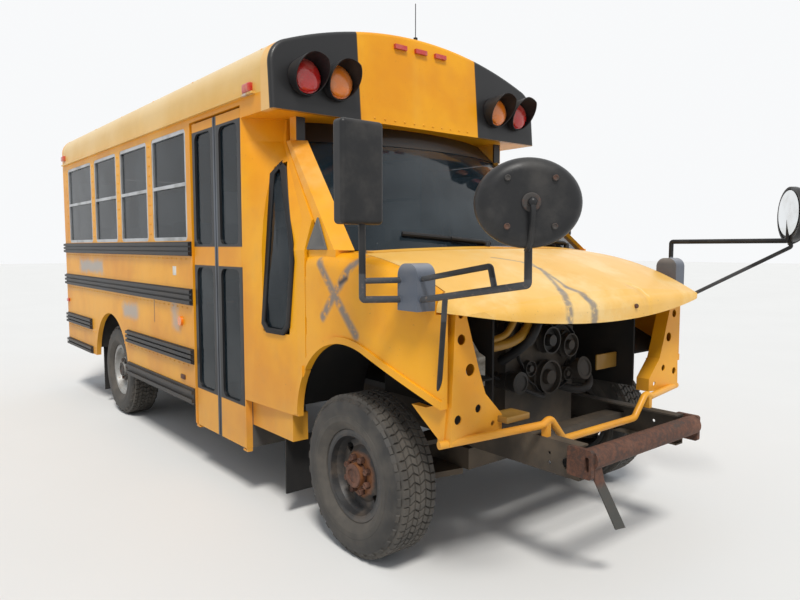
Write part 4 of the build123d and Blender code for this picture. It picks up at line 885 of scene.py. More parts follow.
# %% [markdown]
# Rubber that has stood outside turns grey-brown on the tread, where gravel dust stays, and keeps
# a darker sidewall with faint rings.

# %% Tyre rubber
wheel_names = ("front_left", "front_right", "rear_left", "rear_right")
rear_low, rear_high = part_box("tyre_rear_left")
rear_y = (rear_low.y + rear_high.y) / 2 - axle_y

rubber = Finish("tyre_rubber", 0.75)
nearer = abs(rubber.y).lowest(abs(rubber.y - rear_y))
up = rubber.z - tread_radius
out_from_hub = (nearer * nearer + up * up) ** 0.5
tread = rubber.smooth(out_from_hub, 0.350, 0.378)
dust = rubber.smooth(rubber.noise(9, 5), 0.36, 0.70)
wall_dust = rubber.smooth(out_from_hub, 0.34, 0.24) * 0.35
share = (tread * 0.30 + wall_dust + dust * 0.35).lowest(0.75)
rings = rubber.node("ShaderNodeMath", {"operation": "SINE"}, {0: out_from_hub * 900.0})
ring_zone = rubber.band(out_from_hub, 0.245, 0.285, 0.004)
rubber.set("Roughness", 0.58 + share * 0.35)
rubber.bump(rings * ring_zone * 0.2 + rubber.noise(140, 3) * 0.4, 0.35, 0.001)
tyre_rubber = rubber.done(rubber.mix(share, (0.020, 0.019, 0.018), (0.125, 0.110, 0.092)))

for corner in wheel_names:
    low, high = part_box("tyre_" + corner)
    twin = tyre_model.copy()
    twin.data = tyre_model.data.copy()
    scene.collection.objects.link(twin)
    twin.matrix_world = Matrix.Translation((low + high) / 2)
    settle(twin, "tread_tyre_" + corner, tyre_rubber, "wheel_" + corner, 25)
    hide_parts("tyre_" + corner)
bpy.data.objects.remove(tyre_model)
print("tyres 4, rear axle", round(rear_y, 3), "behind the front one")

# %% [markdown]
# The lug nuts are hexagons with a chamfered end round the hub. One nut is shaped, eight copies
# stand on the bolt circle, and a hub cap with stepped rings closes the middle.

# %% Lug nuts and hub rings
bolt_circle = 0.1651
nut_steps = [(0.003, 0.003), (0.005, -0.004)]
hub_steps = [(0.004, 0.0), (0.002, 0.028), (0.004, 0.003), (0.016, 0.0), (0.002, -0.006), (0.022, 0.002)]
for corner in wheel_names:
    low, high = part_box("wheel_" + corner)
    side = 1 if low.x > 0 else -1
    middle = (low + high) / 2
    face_x = surface("wheel_" + corner, middle + Vector((side * 0.4, 0.0, 0.07)), (-side, 0, 0))[0].x
    places = []
    for i in range(8):
        turn = math.radians(22.5 + 45 * i)
        back, up = bolt_circle / 2 * math.cos(turn), bolt_circle / 2 * math.sin(turn)
        spot = (face_x + side * 0.012, middle.y + back, middle.z + up)
        places.append(facing(spot, (side, 0, 0), turn))
    nuts = copies(turned(6, 0.0165, 0.024, nut_steps), places)
    hub = turned(32, 0.062, 0.010, hub_steps)
    hub.matrix_world = facing((face_x + side * 0.006, middle.y, middle.z), (side, 0, 0))
    join([hub, nuts])
    steel = rusty_steel if corner.startswith("front") else rusty_dark
    settle(hub, "hub_and_nuts_" + corner, steel, "wheel_" + corner, 30)
print("hubs", len(wheel_names))

# %% [markdown]
# Each warning lamp sits behind a black hood, so that the sun doesn't wash it out. The lens is a
# shallow dome in a black ring, and the hood is the upper part of a tube with a slanted mouth.

# %% Warning lamp domes and hoods
lean = 0.045 / 0.547
lamp_height = 2.361
lamp_spots = [(side * x, lamp_height) for side in (-1, 1) for x in (0.838, 0.632)]
lens_radius = 0.082
hood_radius, hood_reach = 0.094, 0.125
dome_steps = [(0.003, 0.004), (0.010, 0.008), (0.018, 0.007), (0.022, 0.004), (0.018, 0.001)]


def lamp_hood(radius, reach):
    """The ring round a lens and the hood over it, its axis along +Z and its crown along +Y."""
    clear()
    bpy.ops.mesh.primitive_cylinder_add(vertices=40, radius=radius, depth=0.02, end_fill_type="NOTHING")
    shade = bpy.context.object
    pick(shade, lambda c, n: c.z > 0.009 and abs(n.z) < 0.5, "EDGE")
    bpy.ops.mesh.extrude_edges_move(TRANSFORM_OT_translate={"value": (0, 0, reach)})
    bpy.ops.mesh.select_all(action="SELECT")
    slant = (0, -reach, 1.75 * radius)
    bpy.ops.mesh.bisect(plane_co=(0, -radius, 0.012), plane_no=slant, clear_outer=True)
    bpy.ops.object.mode_set(mode="OBJECT")
    modify(shade, "SOLIDIFY", thickness=0.004, offset=1)
    return shade


def lamp_place(x, z, front):
    """The place of a lamp: across, up along its panel, and out of it. The cap leans, the rear doesn't."""
    tilt = lean if front else 0
    out = Vector((0, -1, tilt) if front else (0, 1, 0)).normalized()
    upright = Vector((0, tilt, 1)).normalized()
    point = surface("lamps", (x, aft(0.2 if front else 5.4), z), (0, 1 if front else -1, 0))[0]
    turn = Matrix((upright.cross(out), upright, out)).transposed().to_4x4()
    return Matrix.Translation(point) @ turn


lamp_places = [lamp_place(x, z, front) for front in (True, False) for x, z in lamp_spots]
domes = [place @ Matrix.Translation((0, 0, 0.006)) for place in lamp_places]
hoods = [place @ Matrix.Translation((0, 0, -0.012)) for place in lamp_places]
lenses = copies(turned(40, lens_radius, 0.012, dome_steps), domes)
settle(lenses, "lens_domes", lamp_lens, "bus", 30)
shades = copies(lamp_hood(hood_radius, hood_reach), hoods)
settle(shades, "lamp_hoods", rail_black, "bus", 30)
print("lamps", len(lamp_places))

# %% [markdown]
# The cab's tall side window sits in thick black rubber. The panel leans, and it is ruled between
# a few heights, so one function works out its X at any spot. The rubber is a ring round the five
# corners of the window, laid on that surface, and a dark pane closes the opening behind it.

# %% Tall window rubber and pane
tall_window = [(0.500, 1.010), (0.750, 1.010), (0.765, 1.900), (0.712, 1.930), (0.450, 1.440)]
window_middle = (0.62, 1.45)
panel_edges = [(0.592, 1.000, 0.430), (1.449, 1.000, 0.430), (1.600, 0.962, 0.430),
               (2.050, 0.850, 0.810), (2.178, 0.815, 0.850)]
panel_rear_x, panel_rear_y = 1.037, 0.952
corner_cut = 0.045


def panel_x(y, z):
    """X of the cab panel's outside, from its front edge at each height to its straight rear edge."""
    for (z0, x0, y0), (z1, x1, y1) in zip(panel_edges, panel_edges[1:]):
        if z <= z1 or z1 == panel_edges[-1][0]:
            share = (z - z0) / (z1 - z0)
            edge_x, edge_y = x0 + (x1 - x0) * share, y0 + (y1 - y0) * share
            return -(edge_x + (panel_rear_x - edge_x) * (y - edge_y) / (panel_rear_y - edge_y))


def window_ring(grow):
    """The window's corners, each cut off into two points, moved out from their mean by grow."""
    mean_y, mean_z = (sum(values) / len(tall_window) for values in zip(*tall_window))
    ring = []
    for i, (y, z) in enumerate(tall_window):
        for near_y, near_z in (tall_window[i - 1], tall_window[(i + 1) % len(tall_window)]):
            gap = math.hypot(near_y - y, near_z - z)
            pull = min(corner_cut, gap * 0.4) / gap
            ring_y, ring_z = y + (near_y - y) * pull, z + (near_z - z) * pull
            out = Vector((ring_y - mean_y, ring_z - mean_z)).normalized()
            ring.append((ring_y + out.x * grow, ring_z + out.y * grow * 0.6))
    return ring


clear()
bpy.ops.mesh.primitive_circle_add(vertices=10, radius=0.2, fill_type="NGON")
seal = bpy.context.object
for corner, (y, z) in zip(seal.data.vertices, window_ring(0.012)):
    corner.co = (panel_x(y, z) - 0.004, aft(y), z)
pick(seal, lambda c, n: True)
bpy.ops.mesh.inset(thickness=0.030)
bpy.ops.mesh.delete(type="FACE")
bpy.ops.object.mode_set(mode="OBJECT")
for corner in seal.data.vertices:
    corner.co.x = panel_x(corner.co.y - axle_y, corner.co.z) - 0.005
modify(seal, "SOLIDIFY", thickness=0.016, offset=0)
modify(seal, "BEVEL", width=0.004, segments=2)
settle(seal, "tall_window_seal", black_rubber, "bus", 50)

clear()
bpy.ops.mesh.primitive_circle_add(vertices=10, radius=0.2, fill_type="TRIFAN")
tall_pane = bpy.context.object
for corner, (y, z) in zip(tall_pane.data.vertices, [window_middle, *window_ring(-0.002)]):
    corner.co = (panel_x(y, z) + 0.012, aft(y), z)
modify(tall_pane, "SOLIDIFY", thickness=0.005)
settle(tall_pane, "tall_window_pane", glass, "bus", 20)
print("window corners", len(tall_window), "seal faces", len(seal.data.polygons))

# %% [markdown]
# Rivets hold the outer skins to the frame. One low dome is shaped and then set down along each
# seam, on the surface that a line from outside meets there.

# %% Rivets along the seams
clear()
bpy.ops.mesh.primitive_uv_sphere_add(segments=8, ring_count=6, radius=0.0065)
rivet = bpy.context.object
pick(rivet, lambda c, n: True)
bpy.ops.mesh.bisect(plane_co=(0, 0, 0), plane_no=(0, 0, 1), clear_inner=True, use_fill=True)
bpy.ops.mesh.select_all(action="SELECT")
bpy.ops.mesh.normals_make_consistent(inside=False)
bpy.ops.transform.resize(value=(1, 1, 0.5))
bpy.ops.object.mode_set(mode="OBJECT")
rivet_places = []


def rivet_at(node, start, direction, way=None, least_x=0.0):
    """Notes a rivet where the line meets the node, facing along way or as the surface does there."""
    point, normal = surface(node, start, direction)
    if point and abs(point.x) >= least_x:
        rivet_places.append(facing(point, way or normal))


side_skin = 1.03
pillars = (1.722, 2.440, 2.457, 3.185, 3.202, 3.930, 3.947, 4.875)
for side, node, front_end in ((-1, "body_side_right", 1.74), (1, "body_side_left", 1.46)):
    spots = [(pillar, 1.56 + i * 0.070) for pillar in pillars if pillar >= front_end for i in range(10)]
    rows = [(front_end + 0.05 + i * 0.085, z) for z in (1.385, 1.060, 0.672) for i in range(40)]
    spots += [(y, z) for y, z in rows if y < 4.95]
    for y, z in spots:
        rivet_at(node, (side * 1.3, aft(y), z), (-side, 0, 0), (side, 0, 0), side_skin)
for i in range(-5, 6):
    rivet_at("front_cap", (i * 0.075, aft(0.2), 2.205), (0, 1, 0))
for bow in (0.78, 1.72, 2.45, 3.19, 3.94, 4.90):
    for i in range(-9, 10):
        rivet_at("body_roof", (i * 0.11, aft(bow), 3.2), (0, 0, -1))
for side in (-1, 1):
    for i in range(17):
        rivet_at("rear_wall", (side * 0.99, aft(5.3), 0.75 + i * 0.09), (0, -1, 0))
rivets = copies(rivet, rivet_places)
settle(rivets, "rivets", plain_yellow, "bus", 60)
print("rivets", len(rivet_places), "faces", len(rivets.data.polygons))

# %% [markdown]
# Two wipers rest at the foot of the windscreen. A blade is a thin bar that follows the curved
# glass. The glass is measured with a line at seven places, and the bar bends through them.

# %% Wipers


def bent_bar(points, radius):
    """A round bar through points, smooth at its bends, as a mesh."""
    line = bpy.data.curves.new("bar", "CURVE")
    line.dimensions = "3D"
    line.bevel_depth = radius
    line.bevel_resolution = 2
    line.use_fill_caps = True
    run = line.splines.new("NURBS")
    run.points.add(len(points) - 1)
    for spot, point in zip(run.points, points):
        spot.co = (*point, 1)
    run.order_u = 3
    run.use_endpoint_u = True
    run.resolution_u = 6
    holder = bpy.data.objects.new("bar", line)
    scene.collection.objects.link(holder)
    only(holder)
    bpy.ops.object.convert(target="MESH")
    return bpy.context.object


def glass_spot(x, z):
    """The spot on the windscreen at a given X and height, and the way it faces."""
    return surface("windscreen", (x, aft(-1.5), z), (0, 1, 0))


wiper_foot_z = 1.462
wiper_table = [("right", -0.16, -0.11, -0.50, 1.520), ("left", 0.62, 0.62, -0.52, 1.515)]
for name, pivot_x, blade_x, reach, tip_z in wiper_table:
    blade_points = []
    for i in range(7):
        share = i / 6
        point, normal = glass_spot(blade_x + reach * share, 1.475 + (tip_z - 1.475) * share)
        if point:
            blade_points.append(point + normal * 0.014)
    middle = blade_points[len(blade_points) // 2]
    foot = Vector((pivot_x, glass_spot(pivot_x, 1.468)[0].y - 0.030, wiper_foot_z))
    knee = (foot + middle) / 2 + Vector((0, -0.016, 0.012))
    arm_points = [foot, foot + Vector((0, -0.004, 0.03)), knee, middle + Vector((0, -0.014, 0.002))]
    arm = bent_bar(arm_points, 0.009)
    blade = bent_bar(blade_points, 0.012)
    knob = turned(20, 0.016, 0.04, [(0.004, 0.006)], at=foot)
    join([knob, arm, blade])
    settle(knob, "wiper_" + name, black_rubber, "bus", 40)
print("wipers", len(wiper_table))

# %% [markdown]
# Each oval mirror is held by a ball clamp in the middle of its back, with four screws round it.
# The screws are found on the shell's back with lines, because the shell is domed.

# %% Mirror clamps and screws
oval_mirrors = [("right", -1, (-1.050, -1.105, 1.605)), ("left", 1, (1.040, -1.098, 1.632))]
clamp_steps = [(0.003, 0.002), (0.012, 0.0), (0.002, 0.012), (0.004, 0.004)]


def spot_at(x, y, z):
    """A point whose Y is counted from the front axle."""
    return Vector((x, aft(y), z))


def back_of_mirror(side):
    """The way the back of an oval mirror looks: forwards and outwards."""
    return Vector((side * 0.62, -0.785, 0)).normalized()


def screw(radius, tall):
    """A round head with a raised rim and a hollow middle."""
    return turned(12, radius, tall, [(radius * 0.2, radius * 0.25), (radius * 0.45, -radius * 0.3)])


for name, side, centre in oval_mirrors:
    out = back_of_mirror(side)
    across = Vector((0, 0, 1)).cross(out)
    start = spot_at(*centre) + out * 0.3
    places = []
    for a, b in ((0.075, 0.075), (-0.075, 0.075), (0.075, -0.075), (-0.075, -0.075)):
        point = surface("mirrors_" + name, start + across * a + Vector((0, 0, b)), -out)[0]
        places.append(facing(point, out))
    screws = copies(screw(0.010, 0.012), places)
    plate = turned(28, 0.030, 0.012, clamp_steps)
    plate.matrix_world = facing(surface("mirrors_" + name, start, -out)[0], out)
    join([plate, screws])
    settle(plate, "mirror_clamp_" + name, rusty_dark, "bus", 30)
print("mirror clamps", len(oval_mirrors))

# %% [markdown]
# With the grille, lamps and radiator gone, the engine bay is open to view: a dark jumble of
# pulleys, pipes and castings in front of the block. The big round shapes are made first, because
# they are what the eye finds: a crank pulley, a fan hub and four smaller pulleys.

# %% Pulleys in front of the engine
engine_low, engine_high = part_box("engine_block")
engine_front = engine_low.y
engine_x = (engine_low.x + engine_high.x) / 2
pulley_y = engine_front - 0.050
pulley_table = [(0.0, 0.80, 0.088, 0.040), (0.0, 0.99, 0.070, 0.050), (-0.17, 1.03, 0.055, 0.034),
                (0.17, 0.95, 0.062, 0.034), (0.15, 0.80, 0.036, 0.030), (-0.15, 0.86, 0.040, 0.030)]


def pulley(radius, deep):
    """A wheel with a grooved rim and a dished face, its axis along +Z."""
    dish = [(0.10, 0.0), (0.05, -0.6), (0.40, 0.0), (0.04, 0.7), (0.12, 0.0)]
    wheel = turned(36, radius, deep, [(radius * inset, deep * rise) for inset, rise in dish])
    pick(wheel, lambda c, n: abs(n.z) < 0.3 and math.hypot(c.x, c.y) > radius * 0.9)
    bpy.ops.mesh.inset(thickness=deep * 0.2)
    bpy.ops.transform.resize(value=(0.93, 0.93, 1), center_override=(0, 0, 0))
    bpy.ops.object.mode_set(mode="OBJECT")
    return wheel


def pulley_stub(radius):
    """The shaft behind a pulley, with a flange where it leaves the engine."""
    clear()
    bpy.ops.mesh.primitive_cylinder_add(vertices=16, radius=radius * 0.35, depth=0.060)
    stub = bpy.context.object
    pick(stub, lambda c, n: n.z < -0.9)
    bpy.ops.mesh.inset(thickness=radius * 0.05)
    bpy.ops.transform.translate(value=(0, 0, -0.004))
    bpy.ops.transform.resize(value=(2.0, 2.0, 1))
    bpy.ops.object.mode_set(mode="OBJECT")
    return stub


turning = []
for x, z, radius, deep in pulley_table:
    wheel = pulley(radius, deep)
    wheel.matrix_world = facing((engine_x + x, pulley_y, z), (0, -1, 0))
    stub = pulley_stub(radius)
    stub.matrix_world = facing((engine_x + x, engine_front - 0.028, z), (0, -1, 0))
    turning += [wheel, stub]
pulleys = join(turning)
# The engine metal is made nearly black, as painted shade for the shadow inside the bay.
engine_metal_painted_shade = dusty_dark("engine_metal_painted_shade", (0.022, 0.021, 0.020), (0.075, 0.060, 0.046), 0.7, 0.5,
                          grain=70, bumpy=0.4)
settle(pulleys, "engine_pulleys", engine_metal_painted_shade, "bus", 30)
print("pulleys", len(pulley_table))

# %% [markdown]
# One belt runs round them all. A taut belt touches the outermost pulley in every direction, so
# each point of a circle is pushed out to the farthest pulley edge on its bearing.

# %% The belt round the pulleys
belt_middle_z = 0.91
clear()
bpy.ops.mesh.primitive_circle_add(vertices=40, radius=0.1, fill_type="NOTHING")
belt = bpy.context.object
for i, corner in enumerate(belt.data.vertices):
    turn = 2 * math.pi * i / 40
    right, up = math.cos(turn), math.sin(turn)
    reach = 0.98 * max(x * right + (z - belt_middle_z) * up + radius for x, z, radius, deep in pulley_table)
    corner.co = (engine_x + reach * right, pulley_y - 0.006, belt_middle_z + reach * up)
pick(belt, lambda c, n: True, "EDGE")
bpy.ops.mesh.extrude_edges_move(TRANSFORM_OT_translate={"value": (0, 0.022, 0)})
modify(belt, "SOLIDIFY", thickness=0.005)
settle(belt, "engine_belt", black_rubber, "bus", 50)
print("belt faces", len(belt.data.polygons))

# %% [markdown]
# A van engine fills its bay: an intake on top, an alternator high on one side and a pump low on
# the other. These are ribbed castings. A cylinder is cut into rings, every other ring is pushed
# out, and its end gets a boss with a socket.

# %% Alternator, pump and intake
castings = [
    (0.075, 0.150, 4, (-0.19, 0.055, 1.04), (0, -1, 0)),
    (0.065, 0.130, 3, (0.19, 0.045, 0.95), (0, -1, 0)),
    (0.052, 0.240, 3, (0.24, 0.02, 0.80), (0, -1, 0.2)),
    (0.085, 0.210, 5, (-0.05, 0.10, 1.165), (1, 0.25, 0.1)),
    (0.047, 0.180, 3, (-0.24, 0.02, 0.80), (0, -1, 0)),
    (0.040, 0.120, 3, (0.05, 0.0, 1.10), (0.3, -1, 0.3)),
]


def ribbed(radius, length, ribs):
    """A casting with raised rings, its axis along +Z."""
    clear()
    bpy.ops.mesh.primitive_cylinder_add(vertices=28, radius=radius, depth=length)
    body = bpy.context.object
    for i in range(1, 2 * ribs):
        pick(body, lambda c, n: True)
        bpy.ops.mesh.bisect(plane_co=(0, 0, length * (i / (2 * ribs) - 0.5)), plane_no=(0, 0, 1))
    step = length / (2 * ribs)
    pick(body, lambda c, n: abs(n.z) < 0.3 and int((c.z + length / 2) / step) % 2 == 1)
    bpy.ops.mesh.extrude_region_shrink_fatten(TRANSFORM_OT_shrink_fatten={"value": radius * 0.08})
    pick(body, lambda c, n: n.z > 0.9 and abs(c.z - length / 2) < 0.001)
    steps([(radius * 0.25, radius * 0.2), (radius * 0.35, -radius * 0.1)])
    return body


cast = []
for radius, length, ribs, (x, y, z), axis in castings:
    body = ribbed(radius, length, ribs)
    body.matrix_world = facing((engine_x + x, engine_front + y, z), axis)
    cast.append(body)
castings_piece = join(cast)
settle(castings_piece, "engine_castings", engine_metal_painted_shade, "bus", 30)
print("castings", len(castings))

# %% [markdown]
# Moulded rubber pipes cross the front of the engine. They are stiff and keep their bends, so each
# is a bar through listed points.

# %% Moulded pipes
pipe_routes = [
    (0.024, [(-0.05, 0.02, 1.12), (-0.12, -0.09, 1.16), (-0.22, -0.16, 1.10), (-0.27, -0.14, 1.00),
             (-0.28, 0.02, 0.90)]),
    (0.022, [(0.12, 0.0, 0.74), (0.16, -0.10, 0.71), (0.26, -0.13, 0.73), (0.33, -0.05, 0.80),
             (0.34, 0.10, 0.86)]),
    (0.012, [(-0.30, 0.20, 1.08), (-0.20, -0.02, 1.21), (0.02, -0.08, 1.20), (0.16, -0.02, 1.14),
             (0.24, 0.12, 1.06)]),
    (0.009, [(0.30, 0.12, 1.02), (0.24, -0.05, 1.12), (0.12, -0.10, 1.08), (0.05, -0.02, 1.04)]),
    (0.010, [(-0.32, 0.10, 0.84), (-0.24, -0.06, 0.78), (-0.12, -0.09, 0.72), (-0.02, -0.04, 0.70)]),
]
pipe_bars = []
for radius, route in pipe_routes:
    spots = [Vector((engine_x + x, engine_front + y, z)) for x, y, z in route]
    pipe_bars.append(bent_bar(spots, radius))
pipes = join(pipe_bars)
settle(pipes, "engine_pipes", black_rubber, "bus", 50)
print("pipes", len(pipe_routes))

# %% [markdown]
# The washer bottle is blown plastic gone yellow-grey. The top of a box steps in to a neck, its
# front is pressed in a little, and all its edges are rounded with a bevel.

# %% Washer bottle
bottle = box((0.13, 0.15, 0.13), (-0.655, aft(-0.42), 0.915))
pick(bottle, lambda c, n: n.z > 0.9)
steps([(0.02, 0.02), (0.018, 0.045), (0.006, 0.012)])
pick(bottle, lambda c, n: n.y < -0.9)
steps([(0.025, 0.012)], way=(0, 1, 0))
modify(bottle, "BEVEL", width=0.007, segments=3)
old_plastic = Finish("old_plastic", 0.55)
grime = old_plastic.smooth(old_plastic.noise(14, 5), 0.38, 0.7)
old_plastic.set("Roughness", 0.45 + grime * 0.3)
bottle_white = old_plastic.done(old_plastic.mix(grime, (0.36, 0.35, 0.31), (0.12, 0.10, 0.07)))
settle(bottle, "washer_bottle", bottle_white, "bus", 40)
print("washer bottle faces", len(bottle.data.polygons))

# %% [markdown]
# A small red lamp marks each upper corner of the body. Its lens is a bevelled box whose outer
# face steps out, and it is set where a line from the side meets the edge of the roof.

# %% Corner marker lamps
marker_film = Finish("marker_red", 0.3)
film = marker_film.smooth(marker_film.noise(30, 4), 0.35, 0.7)
marker_film.set("Coat Weight", 0.5)
marker_red = marker_film.done(marker_film.mix(film, (0.50, 0.02, 0.012), (0.55, 0.12, 0.05)))

markers = []
for side in (-1, 1):
    for y, z in ((0.845, 2.318), (4.93, 2.352)):
        marker = box((0.030, 0.085, 0.050))
        pick(marker, lambda c, n: n.x * side > 0.9)
        steps([(0.009, 0.006)], way=(side, 0, 0))
        modify(marker, "BEVEL", width=0.004, segments=2)
        point = surface("body_roof", (side * 1.4, aft(y), z), (-side, 0, 0))[0]
        marker.location = (point.x + side * 0.006, point.y, point.z)
        markers.append(marker)
corner_markers = join(markers)
settle(corner_markers, "corner_markers", marker_red, "bus", 30)
print("corner markers", len(markers))

# %% [markdown]
# A dark triangle of moulded plastic fills the corner between the windscreen pillar and the
# fender, where a van has its small quarter window. It leans in with the pillar.

# %% Quarter panels beside the windscreen
pillar_foot, pillar_top = (0.990, 1.449), (0.850, 2.050)
quarter_corners = [(0.345, 1.452), (0.165, 1.452), (0.300, 1.612)]
for side, label in ((-1, "right"), (1, "left")):
    clear()
    bpy.ops.mesh.primitive_circle_add(vertices=3, radius=0.1, fill_type="NGON")
    quarter = bpy.context.object
    for corner, (y, z) in zip(quarter.data.vertices, quarter_corners):
        share = (z - pillar_foot[1]) / (pillar_top[1] - pillar_foot[1])
        corner.co = (side * (pillar_foot[0] + (pillar_top[0] - pillar_foot[0]) * share), aft(y), z)
    pick(quarter, lambda c, n: True)
    steps([(0.012, -0.006)], way=(side, 0, 0))
    modify(quarter, "SOLIDIFY", thickness=0.012, offset=0)
    modify(quarter, "BEVEL", width=0.003, segments=2)
    settle(quarter, "quarter_panel_" + label, dash_grey, "bus", 40)
print("quarter panels 2")

# %% [markdown]
# School-bus benches are foam under vinyl: a thick seat pad and a tall back, both a little swollen
# between their edges. A box gets round edges and an even skin of small faces, and a short cloth
# simulation with air pressure inside swells it like foam. One pad and one back are simulated, and
# every bench gets copies of them. The skin is coarse, because the pads are seen through dark glass.

# %% Swollen vinyl pads
swell_cap = 0.012
swell_frames = 14
pad_size = (0.700, 0.385, 0.088)
back_size = (0.700, 0.078, 0.525)


def foam_block(size):
    """A box with round edges at the origin, its skin remeshed to even faces, ready to swell."""
    block = box(size)
    modify(block, "BEVEL", width=0.022, segments=3)
    modify(block, "REMESH", mode="VOXEL", voxel_size=0.024)
    return block


def swell(block):
    """Air pressure for a few frames, with each corner held to a small movement, then one subdivision."""
    start = [corner.co.copy() for corner in block.data.vertices]
    cloth = block.modifiers.new("air", "CLOTH")
    cloth.settings.quality = 4
    cloth.settings.mass = 0.4
    cloth.settings.use_pressure = True
    cloth.settings.uniform_pressure_force = 4
    cloth.settings.effector_weights.gravity = 0
    cloth.settings.tension_stiffness = 25
    cloth.settings.compression_stiffness = 25
    cloth.settings.bending_stiffness = 4
    for step in range(1, swell_frames + 1):
        scene.frame_set(step)
    only(block)
    bpy.ops.object.modifier_apply(modifier="air")
    scene.frame_set(1)
    moved = 0.0
    for corner, before in zip(block.data.vertices, start):
        push = corner.co - before
        if push.length > swell_cap:
            corner.co = before + push.normalized() * swell_cap
        moved = max(moved, (corner.co - before).length)
    modify(block, "SUBSURF", levels=1, render_levels=1)
    return moved


seat_pad = foam_block(pad_size)
print("pad swelled", round(swell(seat_pad) * 1000, 1), "mm, faces", len(seat_pad.data.polygons))
seat_back = foam_block(back_size)
print("back swelled", round(swell(seat_back) * 1000, 1), "mm, faces", len(seat_back.data.polygons))

# %% [markdown]
# The vinyl is dark blue. It has a fine pebbled grain, it has worn paler where people slide in, and
# it has gathered dust.

# %% Seat vinyl
vinyl = Finish("seat_vinyl", 0.5)
grain = vinyl.node("ShaderNodeTexVoronoi", {}, {"Vector": vinyl.place, "Scale": 260.0})
worn = vinyl.smooth(vinyl.noise(5, 5), 0.42, 0.72)
dusty = vinyl.smooth(vinyl.noise(16, 4), 0.45, 0.8)
colour = vinyl.mix(worn * 0.6, (0.020, 0.028, 0.050), (0.050, 0.060, 0.085))
colour = vinyl.mix(dusty * 0.35, colour, (0.16, 0.14, 0.11))
vinyl.set("Roughness", 0.42 + worn * 0.2)
vinyl.bump(grain + vinyl.noise(30, 3) * 0.3, 0.35, 0.0008)
seat_vinyl = vinyl.done(colour)
print("material", seat_vinyl.name)

# %% [markdown]
# Each bench is a copy of the pad and of the back on its own thin steel frame, with two legs at
# the aisle. The pads replace the plain blocks of the CAD.

# %% Eight benches
bench_rows = (2.150, 2.840, 3.530, 4.220)
bench_middle = 0.617
pad_y, pad_z = -0.182, 1.168
back_y, back_z = 0.065, 1.392
aisle_edge, wall_edge = 0.300, 0.985
bar = 0.025


def placed(model, at, scale=(1, 1, 1)):
    """A copy of a pad with its own mesh, moved and sized, with its place applied."""
    only(model)
    bpy.ops.object.duplicate()
    twin = bpy.context.object
    twin.location = at
    twin.scale = scale
    bpy.ops.object.transform_apply(location=True, rotation=True, scale=True)
    return twin


def block(low, high):
    """One straight steel bar or board between two corners."""
    middle = [(a + b) / 2 for a, b in zip(low, high)]
    board = box([b - a for a, b in zip(low, high)], middle)
    modify(board, "BEVEL", width=0.002, segments=2)
    return board


pads, frames = [], []
for row in bench_rows:
    for side in (-1, 1):
        pads.append(placed(seat_pad, (side * bench_middle, aft(row + pad_y), pad_z)))
        pads.append(placed(seat_back, (side * bench_middle, aft(row + back_y), back_z)))
        low_x, high_x = sorted((side * aisle_edge, side * wall_edge))
        foot_low, foot_high = sorted((side * aisle_edge, side * (aisle_edge + bar)))
        for y in (row - 0.325, row + 0.040):
            frames.append(block((low_x, aft(y), 1.088), (high_x, aft(y + bar), 1.116)))
            frames.append(block((foot_low, aft(y), 0.792), (foot_high, aft(y + bar), 1.090)))
benches = join(pads)
settle(benches, "bench_pads", seat_vinyl, "bus", 60)
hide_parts("bench_seats")
bench_frames = join(frames)
settle(bench_frames, "bench_frames", chassis_black, "bus", 40)
print("benches", len(pads) // 2, "bars", len(frames))

# %% [markdown]
# The driver's seat is a deeper cushion and a narrower back from the same two pads, on a pedestal
# box with pressed-in sides. The two pattern pads are then put away.

# %% Driver's seat
driver_x = 0.545
driver_cushion = placed(seat_pad, (driver_x, aft(1.095), 1.006), (0.66, 1.19, 1.02))
driver_back = placed(seat_back, (driver_x, aft(1.310), 1.345), (0.63, 1.10, 1.0))
driver = join([driver_cushion, driver_back])
settle(driver, "driver_pads", seat_vinyl, "bus", 60)
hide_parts("driver_seat")
base = block((0.410, aft(0.960), 0.737), (0.670, aft(1.270), 0.948))
pick(base, lambda c, n: abs(n.z) < 0.9)
bpy.ops.mesh.inset(thickness=0.030, depth=-0.008)
settle(base, "driver_seat_base", chassis_black, "bus", 30)
for pattern in (seat_pad, seat_back):
    bpy.data.objects.remove(pattern)
print("driver's seat made, pattern pads put away")

# %% [markdown]
# Only the reflecting sides of the mirrors are bright. Each face is a disc or a plate with a low
# dome, pressed into its black shell.

# %% Mirror faces


def mirror_disc(centre, face, wide, tall, name, body):
    """A domed oval plate on the reflecting side of a mirror."""
    disc = turned(48, 1.0, 0.008, [(0.04, 0.001), (0.24, 0.003), (0.24, 0.002), (0.24, 0.001)])
    across = Vector((0, 0, 1)).cross(face).normalized()
    turn = Matrix((across, face.cross(across), face)).transposed().to_4x4()
    disc.matrix_world = Matrix.Translation(centre) @ turn @ Matrix.Diagonal((wide, tall, 1, 1))
    settle(disc, name, mirror_face, body, 30)


def mirror_plate(centre, wide, tall, name, body):
    """A flat glass with rounded corners that faces the back of the bus."""
    plate = box((wide, 0.006, tall), centre)
    pick(plate, lambda c, way: abs(way.y) > 0.9, "EDGE")
    bpy.ops.mesh.bevel(offset=0.018, segments=4)
    pick(plate, lambda c, n: n.y > 0.9)
    steps([(0.005, 0.0015)], way=(0, 1, 0))
    settle(plate, name, mirror_face, body, 30)


for name, side, centre in (("right", -1, (-1.0531, -1.1089, 1.617)), ("left", 1, (1.0431, -1.1019, 1.640))):
    face = -back_of_mirror(side)
    mirror_disc(spot_at(*centre) + face * 0.003, face, 0.150, 0.118, "mirror_face_oval_" + name, "bus")
mirror_plate((-1.206, aft(-0.3635), 1.752), 0.155, 0.330, "mirror_face_flat_right", "bus")
mirror_plate((1.190, aft(0.5035), 1.742), 0.150, 0.310, "mirror_face_door", "driver_door")
print("mirror faces 4")

